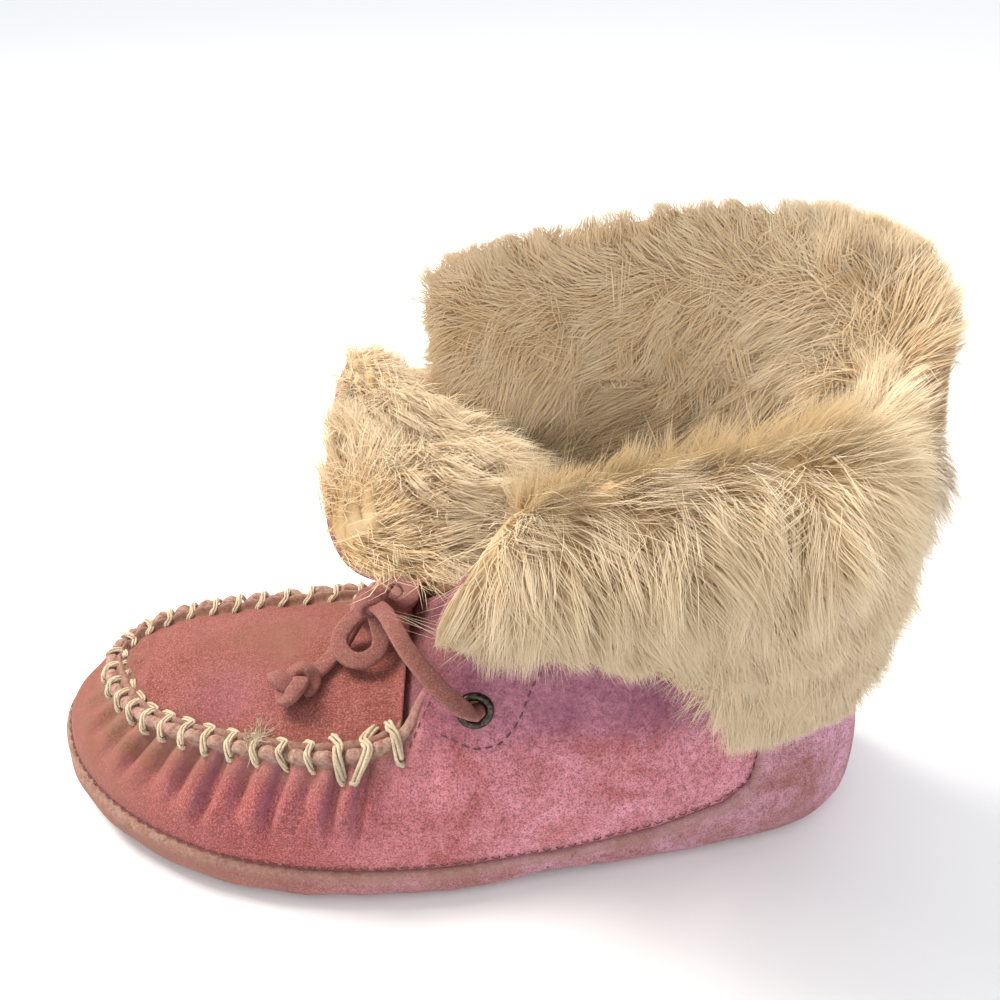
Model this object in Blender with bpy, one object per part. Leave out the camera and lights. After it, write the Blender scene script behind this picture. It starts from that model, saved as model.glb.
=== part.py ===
"""Left mukluk slipper boot: suede moccasin foot, long-pile collar folded out on its outer side.

Metres, +Z up. The toe points along -X, the boot's outer (lateral) side is -Y, the ground is z = 0.
The origin lies on the ground, under half the length of the sole.
"""
import math

import bmesh
import bpy
import numpy as np
from mathutils import Vector

MM = 0.001

# Driving sizes
SOLE_LENGTH = 223 * MM
BALL_WIDTH = 88 * MM
ANKLE_HEIGHT = 60 * MM
COLLAR_DEPTH = 100 * MM
TOE_SPRING = 5 * MM
ARCH_RISE = 1.6 * MM
SUEDE = 2.0 * MM
SOLE_SIDE = 1.8 * MM
SOLE_BOTTOM = 2.5 * MM
SOLE_ROUND = 8.5 * MM
SOLE_TUCK = 4.5 * MM
INSOLE_THICKNESS = 3.0 * MM
INSOLE_CLEARANCE = 1.2 * MM
GAP = 0.3 * MM
SOLE_GAP = 0.45 * MM

# The apron seam and the puckers that it gathers
RIDGE_HEIGHT = 3.4 * MM
EDGE_HEIGHT = 0.6 * MM
PUCKER_DEPTH = 1.5 * MM
PUCKERS_PER_ROW = 2
APRON_LIP = 2.0 * MM
APRON_CROWN = 6.0 * MM
APRON_TIP_RADIUS = 16 * MM
APRON_FULL_WIDTH = 24.6 * MM
APRON_LIP_SHARE = 0.85
APRON_LIP_TURN = 1.2 * MM
APRON_ROW_SHARES = (0.38, 0.68)
FAN_STEP = 0.02

# Long pile
CUFF_PILE = 12 * MM
TONGUE_PILE = 12 * MM
LOCK_LENGTH = 6.0 * MM
LOCK_LIFT = 3.5 * MM
LOCK_TIP = 0.18
PILE_RIPPLE = 0.16
PILE_INSET = 1.2 * MM

# Eyelets and lace
EYELET_OUTER = 9.4 * MM
EYELET_BORE = 5.0 * MM
EYELET_FLANGE = 1.0 * MM
EYELET_STANDOFF = 0.8 * MM
EYELET_BARREL = 0.4 * MM
EYELET_HOLE_CLEARANCE = 0.4 * MM
LACE_DIAMETER = 4.0 * MM

HEEL_X = SOLE_LENGTH / 2

# Sections around the foot, from the heel along the lateral side to the toe and back along the medial side.
# along: share of the sole's length from the heel. side: share of the ball width, lateral negative.
# top_*: the same for the section's upper edge, and its height as a share of the ankle's.
SECTION_COLUMNS = ("along", "side", "top_along", "top_side", "top_height")
SECTION_ROWS = (
    (0.000, 0.034, 0.047, 0.023, 1.000),
    (0.018, -0.136, 0.063, -0.097, 1.000),
    (0.056, -0.239, 0.096, -0.182, 1.000),
    (0.105, -0.301, 0.141, -0.227, 1.000),
    (0.168, -0.341, 0.204, -0.261, 1.000),
    (0.276, -0.403, 0.294, -0.290, 1.000),
    (0.392, -0.460, 0.392, -0.295, 1.017),
    (0.473, -0.500, 0.478, -0.301, 1.033),
    (0.513, -0.515, 0.518, -0.320, 0.900),
    (0.554, -0.523, 0.545, -0.357, 0.680),
    (0.612, -0.526, 0.599, -0.411, 0.635),
    (0.679, -0.517, 0.661, -0.407, 0.625),
    (0.760, -0.477, 0.733, -0.350, 0.592),
    (0.841, -0.392, 0.800, -0.275, 0.553),
    (0.913, -0.267, 0.863, -0.176, 0.510),
    (0.971, -0.097, 0.917, -0.031, 0.470),
    (1.000, 0.102, 0.946, 0.136, 0.452),
    (0.984, 0.261, 0.935, 0.250, 0.460),
    (0.944, 0.375, 0.899, 0.330, 0.483),
    (0.877, 0.449, 0.841, 0.358, 0.525),
    (0.787, 0.477, 0.769, 0.358, 0.575),
    (0.688, 0.472, 0.684, 0.352, 0.625),
    (0.608, 0.449, 0.608, 0.352, 0.650),
    (0.549, 0.426, 0.549, 0.335, 0.690),
    (0.509, 0.412, 0.518, 0.312, 0.905),
    (0.469, 0.400, 0.478, 0.295, 1.033),
    (0.388, 0.381, 0.392, 0.290, 1.017),
    (0.276, 0.369, 0.294, 0.284, 1.000),
    (0.168, 0.381, 0.204, 0.267, 1.000),
    (0.105, 0.352, 0.141, 0.239, 1.000),
    (0.056, 0.278, 0.096, 0.188, 1.000),
    (0.018, 0.170, 0.063, 0.114, 1.000),
)
ROW_COUNT = len(SECTION_ROWS)
TOE_ROW = ROW_COUNT // 2
THROAT_ROW = 7
APRON_ROW = 9
PUCKER_ROWS = (10, 15)

# The sole seam's height as a share of the ankle's, against the share of the sole's length from the heel
RIM_COLUMNS = ("along", "height")
RIM_ROWS = (
    (0.00, 0.84),
    (0.10, 0.78),
    (0.13, 0.60),
    (0.15, 0.38),
    (0.18, 0.29),
    (0.26, 0.21),
    (0.37, 0.165),
    (0.60, 0.170),
    (0.77, 0.190),
    (1.00, 0.225),
)

# The collar's sheet, section by section from the lateral throat edge round the heel to the medial one.
# share: place along the collar. rise, radius, flap, sweeps: shares of the collar's depth.
# It rises with a lean, turns outward through an arc and ends in a straight flap. Angles are in degrees.
COLLAR_COLUMNS = ("share", "rise", "lean", "turn", "radius", "flap", "sweep_rise", "sweep_flap", "pile")
COLLAR_ROWS = (
    (0.00, 0.34, 2, 176, 0.070, 0.145, 0.15, -0.22, 0.10),
    (0.08, 0.38, 2, 177, 0.070, 0.20, 0.08, -0.10, 0.15),
    (0.16, 0.41, 2, 177, 0.070, 0.28, 0.03, -0.04, 0.80),
    (0.26, 0.43, 2, 177, 0.066, 0.52, 0.00, -0.07, 1.00),
    (0.36, 0.42, 2, 177, 0.054, 0.54, -0.01, -0.05, 0.90),
    (0.43, 0.38, 4, 174, 0.040, 0.40, -0.05, -0.05, 0.55),
    (0.50, 0.37, 6, 165, 0.036, 0.18, -0.06, -0.03, 0.45),
    (0.55, 0.42, 12, 85, 0.060, 0.16, 0.02, 0.00, 0.50),
    (0.60, 0.47, 16, 50, 0.100, 0.34, 0.05, 0.02, 0.60),
    (0.70, 0.50, 12, 22, 0.120, 0.38, 0.02, 0.02, 1.00),
    (0.82, 0.50, 11, 12, 0.120, 0.40, 0.00, 0.00, 1.00),
    (0.92, 0.48, 10, 11, 0.120, 0.34, -0.02, -0.03, 0.30),
    (1.00, 0.44, 10, 10, 0.120, 0.28, -0.05, -0.05, 0.12),
)
COLLAR_STATIONS = 36
COLLAR_SMOOTHING = 0.025
RISE_STEPS = 3
ARC_STEPS = 4
FLAP_STEPS = 2

# The tongue's rows, from the apron up and then forward over the instep.
# along: share of the sole's length from the heel. height: share of the ankle's height.
# lateral, medial: half widths as shares of the ball width. tilt: rise per width to the medial side.
# pile: share of the tongue's pile.
TONGUE_COLUMNS = ("along", "height", "lateral", "medial", "tilt", "pile")
TONGUE_ROWS = (
    (0.5468, 0.743, 0.300, 0.288, 0.00, 0.00),
    (0.5090, 0.825, 0.272, 0.268, 0.00, 0.00),
    (0.4690, 0.933, 0.250, 0.250, 0.00, 0.00),
    (0.4340, 1.067, 0.232, 0.232, 0.00, 0.15),
    (0.4130, 1.233, 0.222, 0.226, 0.02, 0.35),
    (0.4170, 1.383, 0.222, 0.238, 0.05, 0.75),
    (0.4460, 1.483, 0.256, 0.256, 0.10, 0.95),
    (0.4910, 1.545, 0.295, 0.300, 0.18, 1.00),
    (0.5450, 1.590, 0.312, 0.395, 0.28, 1.00),
    (0.5900, 1.625, 0.275, 0.425, 0.34, 0.90),
    (0.6180, 1.655, 0.170, 0.400, 0.38, 0.70),
    (0.6280, 1.680, 0.020, 0.310, 0.38, 0.45),
)
TONGUE_SUBDIVISION = 2
TONGUE_COLUMNS_ACROSS = 6
TONGUE_ARCH = 5.0 * MM
LOBE_DROOP = 1.5 * MM
TONGUE_PILE_FIRST_ROW = 3
LOBE_ROWS = (4.0, 7.0)

# The lace: its eyelets' places on the quarter, and the routes of its bars, loops and ends in millimetres
EYELET_ROWS = {"lateral": 6.85, "medial": 25.15}
EYELET_LEVEL = 0.83
EYELET_SEGMENTS = 16
LACE_START_HEIGHT = 3.0 * MM
BOW_PLACE = (-20.5, 2, 57.5)
BOW_RADII = (6.2, 6.0, 5.0)
LACE_BARS = {
    "lateral": ((3.5, -35.5, 57), (-3, -31, 61), (-9, -23, 63), (-13, -14, 62.5), (-16.7, -4.4, 59.8)),
    "medial": ((3.5, 34.5, 57), (-3, 30, 61), (-9, 23, 62.5), (-13.5, 15, 62), (-16.9, 8.0, 59.8)),
}
LACE_CORDS = {
    "lace_loop_near": (
        (-25.8, -0.6, 53.8), (-28.2, -3.2, 51.8), (-28.6, -6.6, 50.0), (-26.0, -9.8, 48.6),
        (-22.0, -10.6, 48.4), (-18.6, -8.4, 49.4), (-17.6, -5.4, 51.4), (-18.4, -3.0, 53.2),
    ),
    "lace_loop_far": (
        (-17.6, 7.8, 54.4), (-16.4, 11.5, 52.4), (-16.2, 16.0, 49.4), (-18.6, 20.4, 46.6),
        (-22.6, 21.4, 45.2), (-25.8, 18.2, 45.4), (-26.4, 13.6, 46.8), (-25.2, 9.8, 49.8), (-24.0, 8.0, 52.0),
    ),
    "lace_end_near": (
        (-24.8, 2.4, 51.8), (-27.2, 0.8, 48.4), (-29.6, -3.8, 46.2), (-32.0, -8.2, 45.8),
        (-34.4, -11.6, 45.5), (-36.0, -13.4, 45.4),
    ),
    "lace_end_far": (
        (-15.0, 5.2, 53.4), (-12.6, 10.4, 50.8), (-11.4, 16.5, 48.6), (-12.2, 22.5, 46.8),
        (-14.6, 28.0, 45.8), (-18.0, 32.5, 45.6),
    ),
}
TIP_KNOT_PLACE = (-39.3, -16.7, 46.5)
TIP_KNOT_RADII = (4.4, 4.4, 3.6)
LACE_POINTS_PER_SPAN = 1


def clear_scene():
    for item in list(bpy.data.objects):
        bpy.data.objects.remove(item, do_unlink=True)


# Numbers and curves
def unit(vector):
    return vector / max(np.linalg.norm(vector), 1e-12)


def smooth_step(low, high, value):
    share = np.clip((value - low) / (high - low), 0.0, 1.0)
    return share * share * (3 - 2 * share)


def table_value(rows, columns, name, key, value):
    """Read a column of a table by straight interpolation along its key column."""
    keys = [row[columns.index(key)] for row in rows]
    values = [row[columns.index(name)] for row in rows]
    return float(np.interp(value, keys, values))


def through_points(points, place):
    """A smooth curve through points, at a place that counts them; open at both ends."""
    last = len(points) - 1
    index = min(int(place), last - 1)
    share = place - index
    near = [np.asarray(points[min(max(index + step, 0), last)], float) for step in (-1, 0, 1, 2)]
    return catmull_rom(near, share)


def catmull_rom(near, share):
    before, start, end, after = near
    return 0.5 * (
        2 * start
        + (end - before) * share
        + (2 * before - 5 * start + 4 * end - after) * share ** 2
        + (3 * start - before - 3 * end + after) * share ** 3
    )


def section_row(row):
    """The section table at a row number with a fraction, closed around the foot."""
    index = int(math.floor(row))
    near = [np.array(SECTION_ROWS[(index + step) % ROW_COUNT], float) for step in (-1, 0, 1, 2)]
    return dict(zip(SECTION_COLUMNS, catmull_rom(near, row - index)))


# The last: sole outline, section walls and seam lines
def sole_point(row):
    values = section_row(row)
    return np.array((HEEL_X - values["along"] * SOLE_LENGTH, values["side"] * BALL_WIDTH, 0.0))


def top_point(row):
    values = section_row(row)
    return np.array((
        HEEL_X - values["top_along"] * SOLE_LENGTH,
        values["top_side"] * BALL_WIDTH,
        values["top_height"] * ANKLE_HEIGHT,
    ))


def inward(curve, row, step=0.02):
    """Unit normal of a plan curve, pointing to the inside of the foot."""
    along = curve(row + step) - curve(row - step)
    return unit(np.array((-along[1], along[0], 0.0))) * -1.0


def lift(x):
    """How far the sole stands off the ground: toe spring ahead of the ball, and the arch."""
    along = (HEEL_X - x) / SOLE_LENGTH
    toe = TOE_SPRING * np.clip((along - 0.78) / 0.22, 0.0, 1.0) ** 2
    arch = ARCH_RISE * smooth_step(0.27, 0.36, along) * (1 - smooth_step(0.40, 0.47, along))
    return toe + arch


def front_share(row):
    """1 along the apron seam, 0 along the ankle."""
    mirrored = min(row, ROW_COUNT - row)
    return float(smooth_step(APRON_ROW - 1.2, APRON_ROW + 0.2, mirrored))


def pucker(row, level):
    """How far a pucker stands out of the wall: narrow troughs between broad ridges, fading to the sole."""
    mirrored = min(row, ROW_COUNT - row)
    first, last = PUCKER_ROWS
    window = smooth_step(first - 0.5, first + 0.2, mirrored) * (1 - smooth_step(last - 0.7, last, mirrored))
    wave = 0.5 - 0.5 * math.cos(2 * math.pi * PUCKERS_PER_ROW * (row - first))
    fade = smooth_step(0.35, 0.80, level) * (1 - 0.6 * smooth_step(0.92, 1.0, level))
    return PUCKER_DEPTH * window * wave ** 0.7 * fade


LOW_SHARE = 0.2


def wall_point(row, level):
    """The upper's outer face without puckers; level runs from 0 under the foot to 1 at the upper edge."""
    base = sole_point(row)
    top = top_point(row)
    inner = inward(sole_point, row)
    floor = SOLE_BOTTOM + GAP
    if level < LOW_SHARE:
        angle = level / LOW_SHARE * math.pi / 2
        point = base + inner * SOLE_TUCK * (1 - math.sin(angle))
        point[2] = floor + SOLE_ROUND * (1 - math.cos(angle))
    else:
        share = (level - LOW_SHARE) / (1 - LOW_SHARE)
        start = base + np.array((0, 0, floor + SOLE_ROUND))
        height = top[2] - start[2]
        lean = math.radians(12 + 38 * front_share(row))
        reach = 0.42 * np.linalg.norm(top - start)
        tangent = np.array((0, 0, math.cos(lean))) + unit((top - start) * (1, 1, 0)) * math.sin(lean)
        control_low = start + np.array((0, 0, 0.45 * height))
        control_high = top - tangent * reach
        point = (
            start * (1 - share) ** 3
            + control_low * 3 * share * (1 - share) ** 2
            + control_high * 3 * share ** 2 * (1 - share)
            + top * share ** 3
        )
    point[2] += lift(point[0]) * (1 - level) ** 2
    return point


def wall_normal(row, level, step=0.01):
    low = max(level - step, 0.0)
    high = min(level + step, 1.0)
    up = wall_point(row, high) - wall_point(row, low)
    around = wall_point(row + step, level) - wall_point(row - step, level)
    return unit(np.cross(around, up)) * -1.0


def level_at_height(row, height):
    levels = np.linspace(0.0, 1.0, 60)
    heights = [wall_point(row, level)[2] for level in levels]
    return float(np.interp(height, heights, levels))


def ridge_height(row):
    return EDGE_HEIGHT + (RIDGE_HEIGHT - EDGE_HEIGHT) * front_share(row)


def stations(pucker_steps):
    """Row numbers around the foot, the same on both sides; puckers take more of them."""
    lateral = []
    for row in range(TOE_ROW):
        steps = 2
        if PUCKER_ROWS[0] <= row < PUCKER_ROWS[1]:
            steps = pucker_steps
        elif row == TOE_ROW - 1:
            steps = 3
        elif row == 3:
            steps = 4
        lateral += [row + step / steps for step in range(steps)]
    medial = [ROW_COUNT - row for row in lateral[:0:-1]]
    return lateral + [float(TOE_ROW)] + medial


# Solids from rows of points
def new_object(name, mesh_data, material):
    mesh = bpy.data.meshes.new(name)
    mesh_data.to_mesh(mesh)
    mesh_data.free()
    mesh.materials.append(material)
    item = bpy.data.objects.new(name, mesh)
    bpy.context.scene.collection.objects.link(item)
    mesh.shade_smooth()
    mesh.set_sharp_from_angle(angle=math.radians(50))
    return item


def finish_solid(solid):
    bmesh.ops.remove_doubles(solid, verts=solid.verts, dist=0.00001)
    bmesh.ops.dissolve_degenerate(solid, edges=solid.edges, dist=0.00001)
    bmesh.ops.recalc_face_normals(solid, faces=solid.faces)
    return solid


def add_row(solid, points):
    return [solid.verts.new(point) for point in points]


def bridge(solid, first, second, closed=False):
    count = len(first)
    faces = []
    for index in range(count if closed else count - 1):
        following = (index + 1) % count
        faces.append(solid.faces.new((first[index], first[following], second[following], second[index])))
    return faces


def ladder(solid, ring):
    """Close a ring with strips from side to side; the first and middle points are its ends."""
    count = len(ring)
    half = count // 2
    for step in range(half):
        corners = [ring[step], ring[step + 1], ring[(count - step - 1) % count], ring[(count - step) % count]]
        unique = list(dict.fromkeys(corners))
        solid.faces.new(unique)


def ring_solid(loops, close_first=False, close_last=False):
    """A solid around the foot. Each loop holds one station's points; its first and last may be closed over."""
    solid = bmesh.new()
    columns = [add_row(solid, loop) for loop in loops]
    count = len(columns)
    open_ends = close_first or close_last
    for index in range(count):
        bridge(solid, columns[index], columns[(index + 1) % count], closed=not open_ends)
    if close_first:
        ladder(solid, [column[0] for column in columns])
    if close_last:
        ladder(solid, [column[-1] for column in columns])
    return finish_solid(solid)


def sheet_solid(face, back, folded_end=False):
    """A closed sheet between two grids of points of the same size. Returns the solid and its front faces.

    With folded_end the last row runs out and back over the same points, and needs no face of its own.
    """
    solid = bmesh.new()
    front = [add_row(solid, row) for row in face]
    rear = [add_row(solid, row) for row in back]
    front_faces = []
    for index in range(len(front) - 1):
        front_faces.append(bridge(solid, front[index], front[index + 1]))
        bridge(solid, rear[index], rear[index + 1])
    bridge(solid, front[0], rear[0])
    if not folded_end:
        bridge(solid, front[-1], rear[-1])
    bridge(solid, [row[0] for row in front], [row[0] for row in rear])
    bridge(solid, [row[-1] for row in front], [row[-1] for row in rear])
    bmesh.ops.recalc_face_normals(solid, faces=solid.faces)
    return solid, front_faces


def soft_material(name, colour, roughness=0.95, metallic=0.0):
    material = bpy.data.materials.new(name)
    material.use_nodes = True
    shader = material.node_tree.nodes["Principled BSDF"]
    shader.inputs["Base Color"].default_value = (*colour, 1.0)
    shader.inputs["Roughness"].default_value = roughness
    shader.inputs["Metallic"].default_value = metallic
    return material


# Foot
def rim_height(row):
    return ANKLE_HEIGHT * table_value(RIM_ROWS, RIM_COLUMNS, "height", "along", section_row(row)["along"])


def build_outsole():
    """A suede tray: rounded walls up to the sole seam, a flat tread with toe spring and arch, a heel tab."""
    loops = []
    for row in stations(3):
        rim = level_at_height(row, rim_height(row))
        turn = min(LOW_SHARE, 0.8 * rim)
        levels = [0.0, 0.5 * turn, turn] + [turn + (rim - turn) * share for share in (0.33, 0.67, 1.0)]
        outside = []
        for level in levels:
            thickness = SOLE_BOTTOM + (SOLE_SIDE - SOLE_BOTTOM) * smooth_step(0.0, LOW_SHARE, level)
            outside.append(wall_point(row, level) + wall_normal(row, level) * (SOLE_GAP + thickness))
        outside[0][2] = lift(outside[0][0])
        inside = [wall_point(row, level) + wall_normal(row, level) * SOLE_GAP for level in reversed(levels)]
        loops.append(outside + inside)
    return ring_solid(loops, close_first=True, close_last=True)


def build_upper():
    """The boot's hollow wall, with puckers below the apron seam and a raised ridge along it."""
    outer_levels = (0.0, 0.1, 0.2, 0.42, 0.63, 0.83, 1.0)
    inner_levels = (0.94, 0.63, 0.2, 0.0)
    loops = []
    for row in stations(6):
        loop = []
        for level in outer_levels:
            loop.append(wall_point(row, level) + wall_normal(row, level) * pucker(row, level))
        top = top_point(row)
        crest = np.array((0, 0, ridge_height(row)))
        loop.append(top + crest)
        loop.append(top + inward(top_point, row) * SUEDE + crest)
        for level in inner_levels:
            loop.append(wall_point(row, level) - wall_normal(row, level) * SUEDE)
        loops.append(loop)
    return ring_solid(loops)


def build_insole():
    """A footbed that lies inside the upper's tucked edge."""
    loops = []
    for row in stations(2):
        edge = sole_point(row) + inward(sole_point, row) * (SOLE_TUCK + INSOLE_CLEARANCE)
        low = edge + np.array((0, 0, SOLE_BOTTOM + GAP + lift(edge[0])))
        loops.append([low, low + np.array((0, 0, INSOLE_THICKNESS))])
    return ring_solid(loops, close_first=True, close_last=True)


def apron_edge(row):
    return top_point(row) + inward(top_point, row) * (SUEDE + GAP)


def apron_spine(row):
    """The middle between a row's two edges, and the crown there. Rows near the tip fan out from one spine."""
    limit = top_point(TOE_ROW)[0] + APRON_TIP_RADIUS
    edges = apron_edge(row), apron_edge(ROW_COUNT - row)
    while (edges[0][0] + edges[1][0]) / 2 < limit:
        row -= FAN_STEP
        edges = apron_edge(row), apron_edge(ROW_COUNT - row)
    half_width = np.linalg.norm(edges[1] - edges[0]) / 2
    return (edges[0] + edges[1]) / 2, APRON_CROWN * min(1.0, half_width / APRON_FULL_WIDTH)


def apron_row_pair(row):
    """Half an apron row on each side: from the seam inward to the spine."""
    sides = []
    spine, crown = apron_spine(row)
    for edge in (apron_edge(row), apron_edge(ROW_COUNT - row)):
        across = (spine - edge) * (1, 1, 0)
        width = np.linalg.norm(across)
        direction = across / width
        ridge = RIDGE_HEIGHT * APRON_LIP_SHARE
        offsets = [0.0, APRON_LIP, APRON_LIP + APRON_LIP_TURN] + [share * width for share in APRON_ROW_SHARES]
        face = []
        back = []
        for index, offset in enumerate(offsets):
            share = offset / width
            point = edge + direction * offset
            surface = edge[2] + (spine[2] - edge[2]) * share + crown * (1 - (1 - share) ** 2)
            height = edge[2] + ridge if index < 2 else surface
            face.append(np.array((point[0], point[1], height)))
            thickness = SUEDE * (0.6 if index < 2 else 1.0)
            back.append(np.array((point[0], point[1], min(surface, height) - thickness)))
        sides.append((face, back))
    return sides


def build_apron():
    """The plug over the toes: a crowned sheet whose edge turns up along the seam."""
    rows = [row for row in stations(3) if APRON_ROW <= row <= TOE_ROW]
    faces = []
    backs = []
    for row in rows:
        (lateral_face, lateral_back), (medial_face, medial_back) = apron_row_pair(row)
        faces.append(lateral_face + medial_face[::-1])
        backs.append(lateral_back + medial_back[::-1])
    solid, _ = sheet_solid(faces, backs, folded_end=True)
    return finish_solid(solid)


# Tongue
def tongue_grid(offset_share, offset, inset=0.0, first_row=0):
    """Rows of points on the tongue, moved off its suede face; offset_share picks the pile from the table."""
    points = [np.array(row, float) for row in TONGUE_ROWS]
    places = np.linspace(first_row, len(points) - 1, (len(points) - 1 - first_row) * TONGUE_SUBDIVISION + 1)
    grid = []
    for place in places:
        values = dict(zip(TONGUE_COLUMNS, through_points(points, place)))
        ahead = through_points(points, min(place + 0.1, len(points) - 1))
        behind = through_points(points, max(place - 0.1, 0))
        slope = ahead - behind
        run = np.array((-slope[0] * SOLE_LENGTH, 0, slope[1] * ANKLE_HEIGHT))
        normal = unit(np.array((run[2], 0, -run[0])))
        lobe = smooth_step(*LOBE_ROWS, place)
        row = []
        for column in range(TONGUE_COLUMNS_ACROSS + 1):
            side = 2 * column / TONGUE_COLUMNS_ACROSS - 1
            half = values["lateral"] if side < 0 else values["medial"]
            half = max(half * BALL_WIDTH - inset, 1.5 * MM)
            sag = TONGUE_ARCH * (1 - lobe) + LOBE_DROOP * lobe
            y = side * half
            if place > len(points) - 3:
                middle = (values["medial"] - values["lateral"]) / 2 * BALL_WIDTH
                reach = (values["medial"] + values["lateral"]) / 2 * BALL_WIDTH - inset
                y = middle + side * max(reach, 1.5 * MM)
            point = np.array((HEEL_X - values["along"] * SOLE_LENGTH, y, values["height"] * ANKLE_HEIGHT))
            point[2] += values["tilt"] * y - sag * side ** 2
            edge = 1 - 0.7 * abs(side) ** 4
            ripple = 1 + PILE_RIPPLE * math.sin(2.9 * place + 5.1 * side) * math.cos(1.7 * place - 3.3 * side)
            pile = offset_share * max(values["pile"], 0.1) * edge * ripple
            row.append(point + normal * (offset + pile))
        grid.append(row)
    return grid


def build_tongue():
    solid, _ = sheet_solid(tongue_grid(0.0, SUEDE), tongue_grid(0.0, 0.0))
    return finish_solid(solid)


def build_tongue_pile():
    base = SUEDE + 2 * GAP
    face = tongue_grid(TONGUE_PILE, base, PILE_INSET, TONGUE_PILE_FIRST_ROW)
    back = tongue_grid(0.0, base, PILE_INSET, TONGUE_PILE_FIRST_ROW)
    solid, front_faces = sheet_solid(face, back)
    cells = [(row, column) for row in range(7, len(front_faces)) for column in range(1, 5)]
    on_lobe = [(row, column) for row, column in cells if (row + column) % 2 == 0]
    grow_locks(solid, front_faces, face, 0, on_lobe)
    return finish_solid(solid)


# Collar
def collar_row(share):
    """The collar table, read with a short running mean so that its sections pass smoothly into each other."""
    reads = np.linspace(share - COLLAR_SMOOTHING, share + COLLAR_SMOOTHING, 9)
    values = {}
    for name in COLLAR_COLUMNS[1:]:
        nearby = [table_value(COLLAR_ROWS, COLLAR_COLUMNS, name, "share", read) for read in reads]
        values[name] = float(np.mean(nearby))
    return values


def collar_place(share):
    """The row number on the upper's edge; 0 is the lateral throat edge and 1 the medial one."""
    return THROAT_ROW * (1 - 2 * share)


def collar_section(share):
    """Points of one section on the suede face, the directions to the pile side, and places from 0 to 1."""
    values = collar_row(share)
    row = collar_place(share)
    outward = -inward(top_point, row)
    up = np.array((0.0, 0.0, 1.0))
    position = top_point(row) + up * (ridge_height(row) + GAP)
    rise = values["rise"] * COLLAR_DEPTH
    radius = values["radius"] * COLLAR_DEPTH
    flap = values["flap"] * COLLAR_DEPTH
    lean = math.radians(values["lean"])
    turn = math.radians(values["turn"])
    heading = lean
    steps = [(rise / RISE_STEPS, 0.0)] * RISE_STEPS
    chord = 2 * radius * math.sin((turn - lean) / ARC_STEPS / 2)
    steps += [(chord, (turn - lean) / ARC_STEPS)] * ARC_STEPS
    steps += [(flap / FLAP_STEPS, 0.0)] * FLAP_STEPS
    points = [position.copy()]
    headings = [heading]
    for length, bend in steps:
        heading += bend / 2
        position = position + (up * math.cos(heading) + outward * math.sin(heading)) * length
        heading += bend / 2
        points.append(position.copy())
        headings.append(heading)
    count = len(points) - 1
    for index in range(len(points)):
        rise_share = min(index / RISE_STEPS, 1.0)
        flap_share = max(index - RISE_STEPS, 0) / (count - RISE_STEPS)
        sweep = values["sweep_rise"] * rise_share + values["sweep_flap"] * smooth_step(0.0, 1.0, flap_share)
        points[index][0] += sweep * COLLAR_DEPTH
    directions = [up * math.sin(angle) - outward * math.cos(angle) for angle in headings]
    places = [index / count for index in range(len(points))]
    return points, directions, places, values


PILE_PLACES = (0.0, 0.12, 0.30, 0.55, 0.75, 0.90, 1.0)
PILE_SHARES = (0.40, 0.80, 1.0, 1.0, 0.80, 0.60, 0.35)


def pile_depth(share, place, values):
    """The pile's depth: thin at the seam and the edges, held back where the throat needs room."""
    inside = 1 - smooth_step(0.30, 0.52, place)
    depth = float(np.interp(place, PILE_PLACES, PILE_SHARES))
    near_end = 0.35 + 0.65 * smooth_step(0.0, 0.06, min(share, 1 - share))
    room = values["pile"] * inside + (1 - inside) * near_end
    ripple = math.sin(61 * share + 9 * place) * math.cos(38 * share - 7 * place)
    return CUFF_PILE * depth * room * (1 + PILE_RIPPLE * ripple)


def collar_grid(offset, with_pile, stations_count, inset=0.0):
    grid = []
    for index in range(stations_count + 1):
        share = inset + (1 - 2 * inset) * index / stations_count
        points, directions, places, values = collar_section(share)
        row = []
        for point, direction, place in zip(points, directions, places):
            depth = pile_depth(share, place, values) if with_pile else 0.0
            row.append(point + direction * (offset + depth))
        grid.append(row)
    return grid


def build_shaft():
    pile_side = collar_grid(SUEDE, False, COLLAR_STATIONS)
    suede_side = collar_grid(0.0, False, COLLAR_STATIONS)
    solid, _ = sheet_solid(pile_side, suede_side)
    return finish_solid(solid)


def build_cuff_pile():
    base = SUEDE + GAP
    face = collar_grid(base, True, COLLAR_STATIONS, inset=0.005)
    back = collar_grid(base, False, COLLAR_STATIONS, inset=0.005)
    solid, front_faces = sheet_solid(face, back)
    cells = [(row, column) for row in range(COLLAR_STATIONS) for column in range(3, 8)]
    over_fold = [(row, column) for row, column in cells if (row + 2 * column) % 4 == 0]
    grow_locks(solid, front_faces, face, 1, over_fold)
    return finish_solid(solid)


def grow_locks(solid, front_faces, grid, flow_axis, chosen):
    """Fuse pointed locks on: chosen faces are drawn out to narrow tips that lean along the pile's flow."""
    for row, column in chosen:
        ahead = grid[row + 1][column] if flow_axis == 0 else grid[row][column + 1]
        draw_out(solid, front_faces[row][column], unit(ahead - grid[row][column]))


def draw_out(solid, face, flow):
    face.normal_update()
    centre = np.array(face.calc_center_median())
    tip = centre + np.array(face.normal) * LOCK_LIFT + flow * LOCK_LENGTH
    corners = list(face.verts)
    tips = [solid.verts.new(tip + (np.array(corner.co) - centre) * LOCK_TIP) for corner in corners]
    solid.faces.remove(face)
    for index in range(len(corners)):
        following = (index + 1) % len(corners)
        solid.faces.new((corners[index], corners[following], tips[following], tips[index]))
    solid.faces.new(tips)


# Eyelets and lace
def eyelet_frame(side):
    row = EYELET_ROWS[side]
    return wall_point(row, EYELET_LEVEL), wall_normal(row, EYELET_LEVEL)


def across_axes(axis):
    first = unit(np.cross(axis, (0.0, 0.0, 1.0)))
    return first, np.cross(axis, first)


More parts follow.
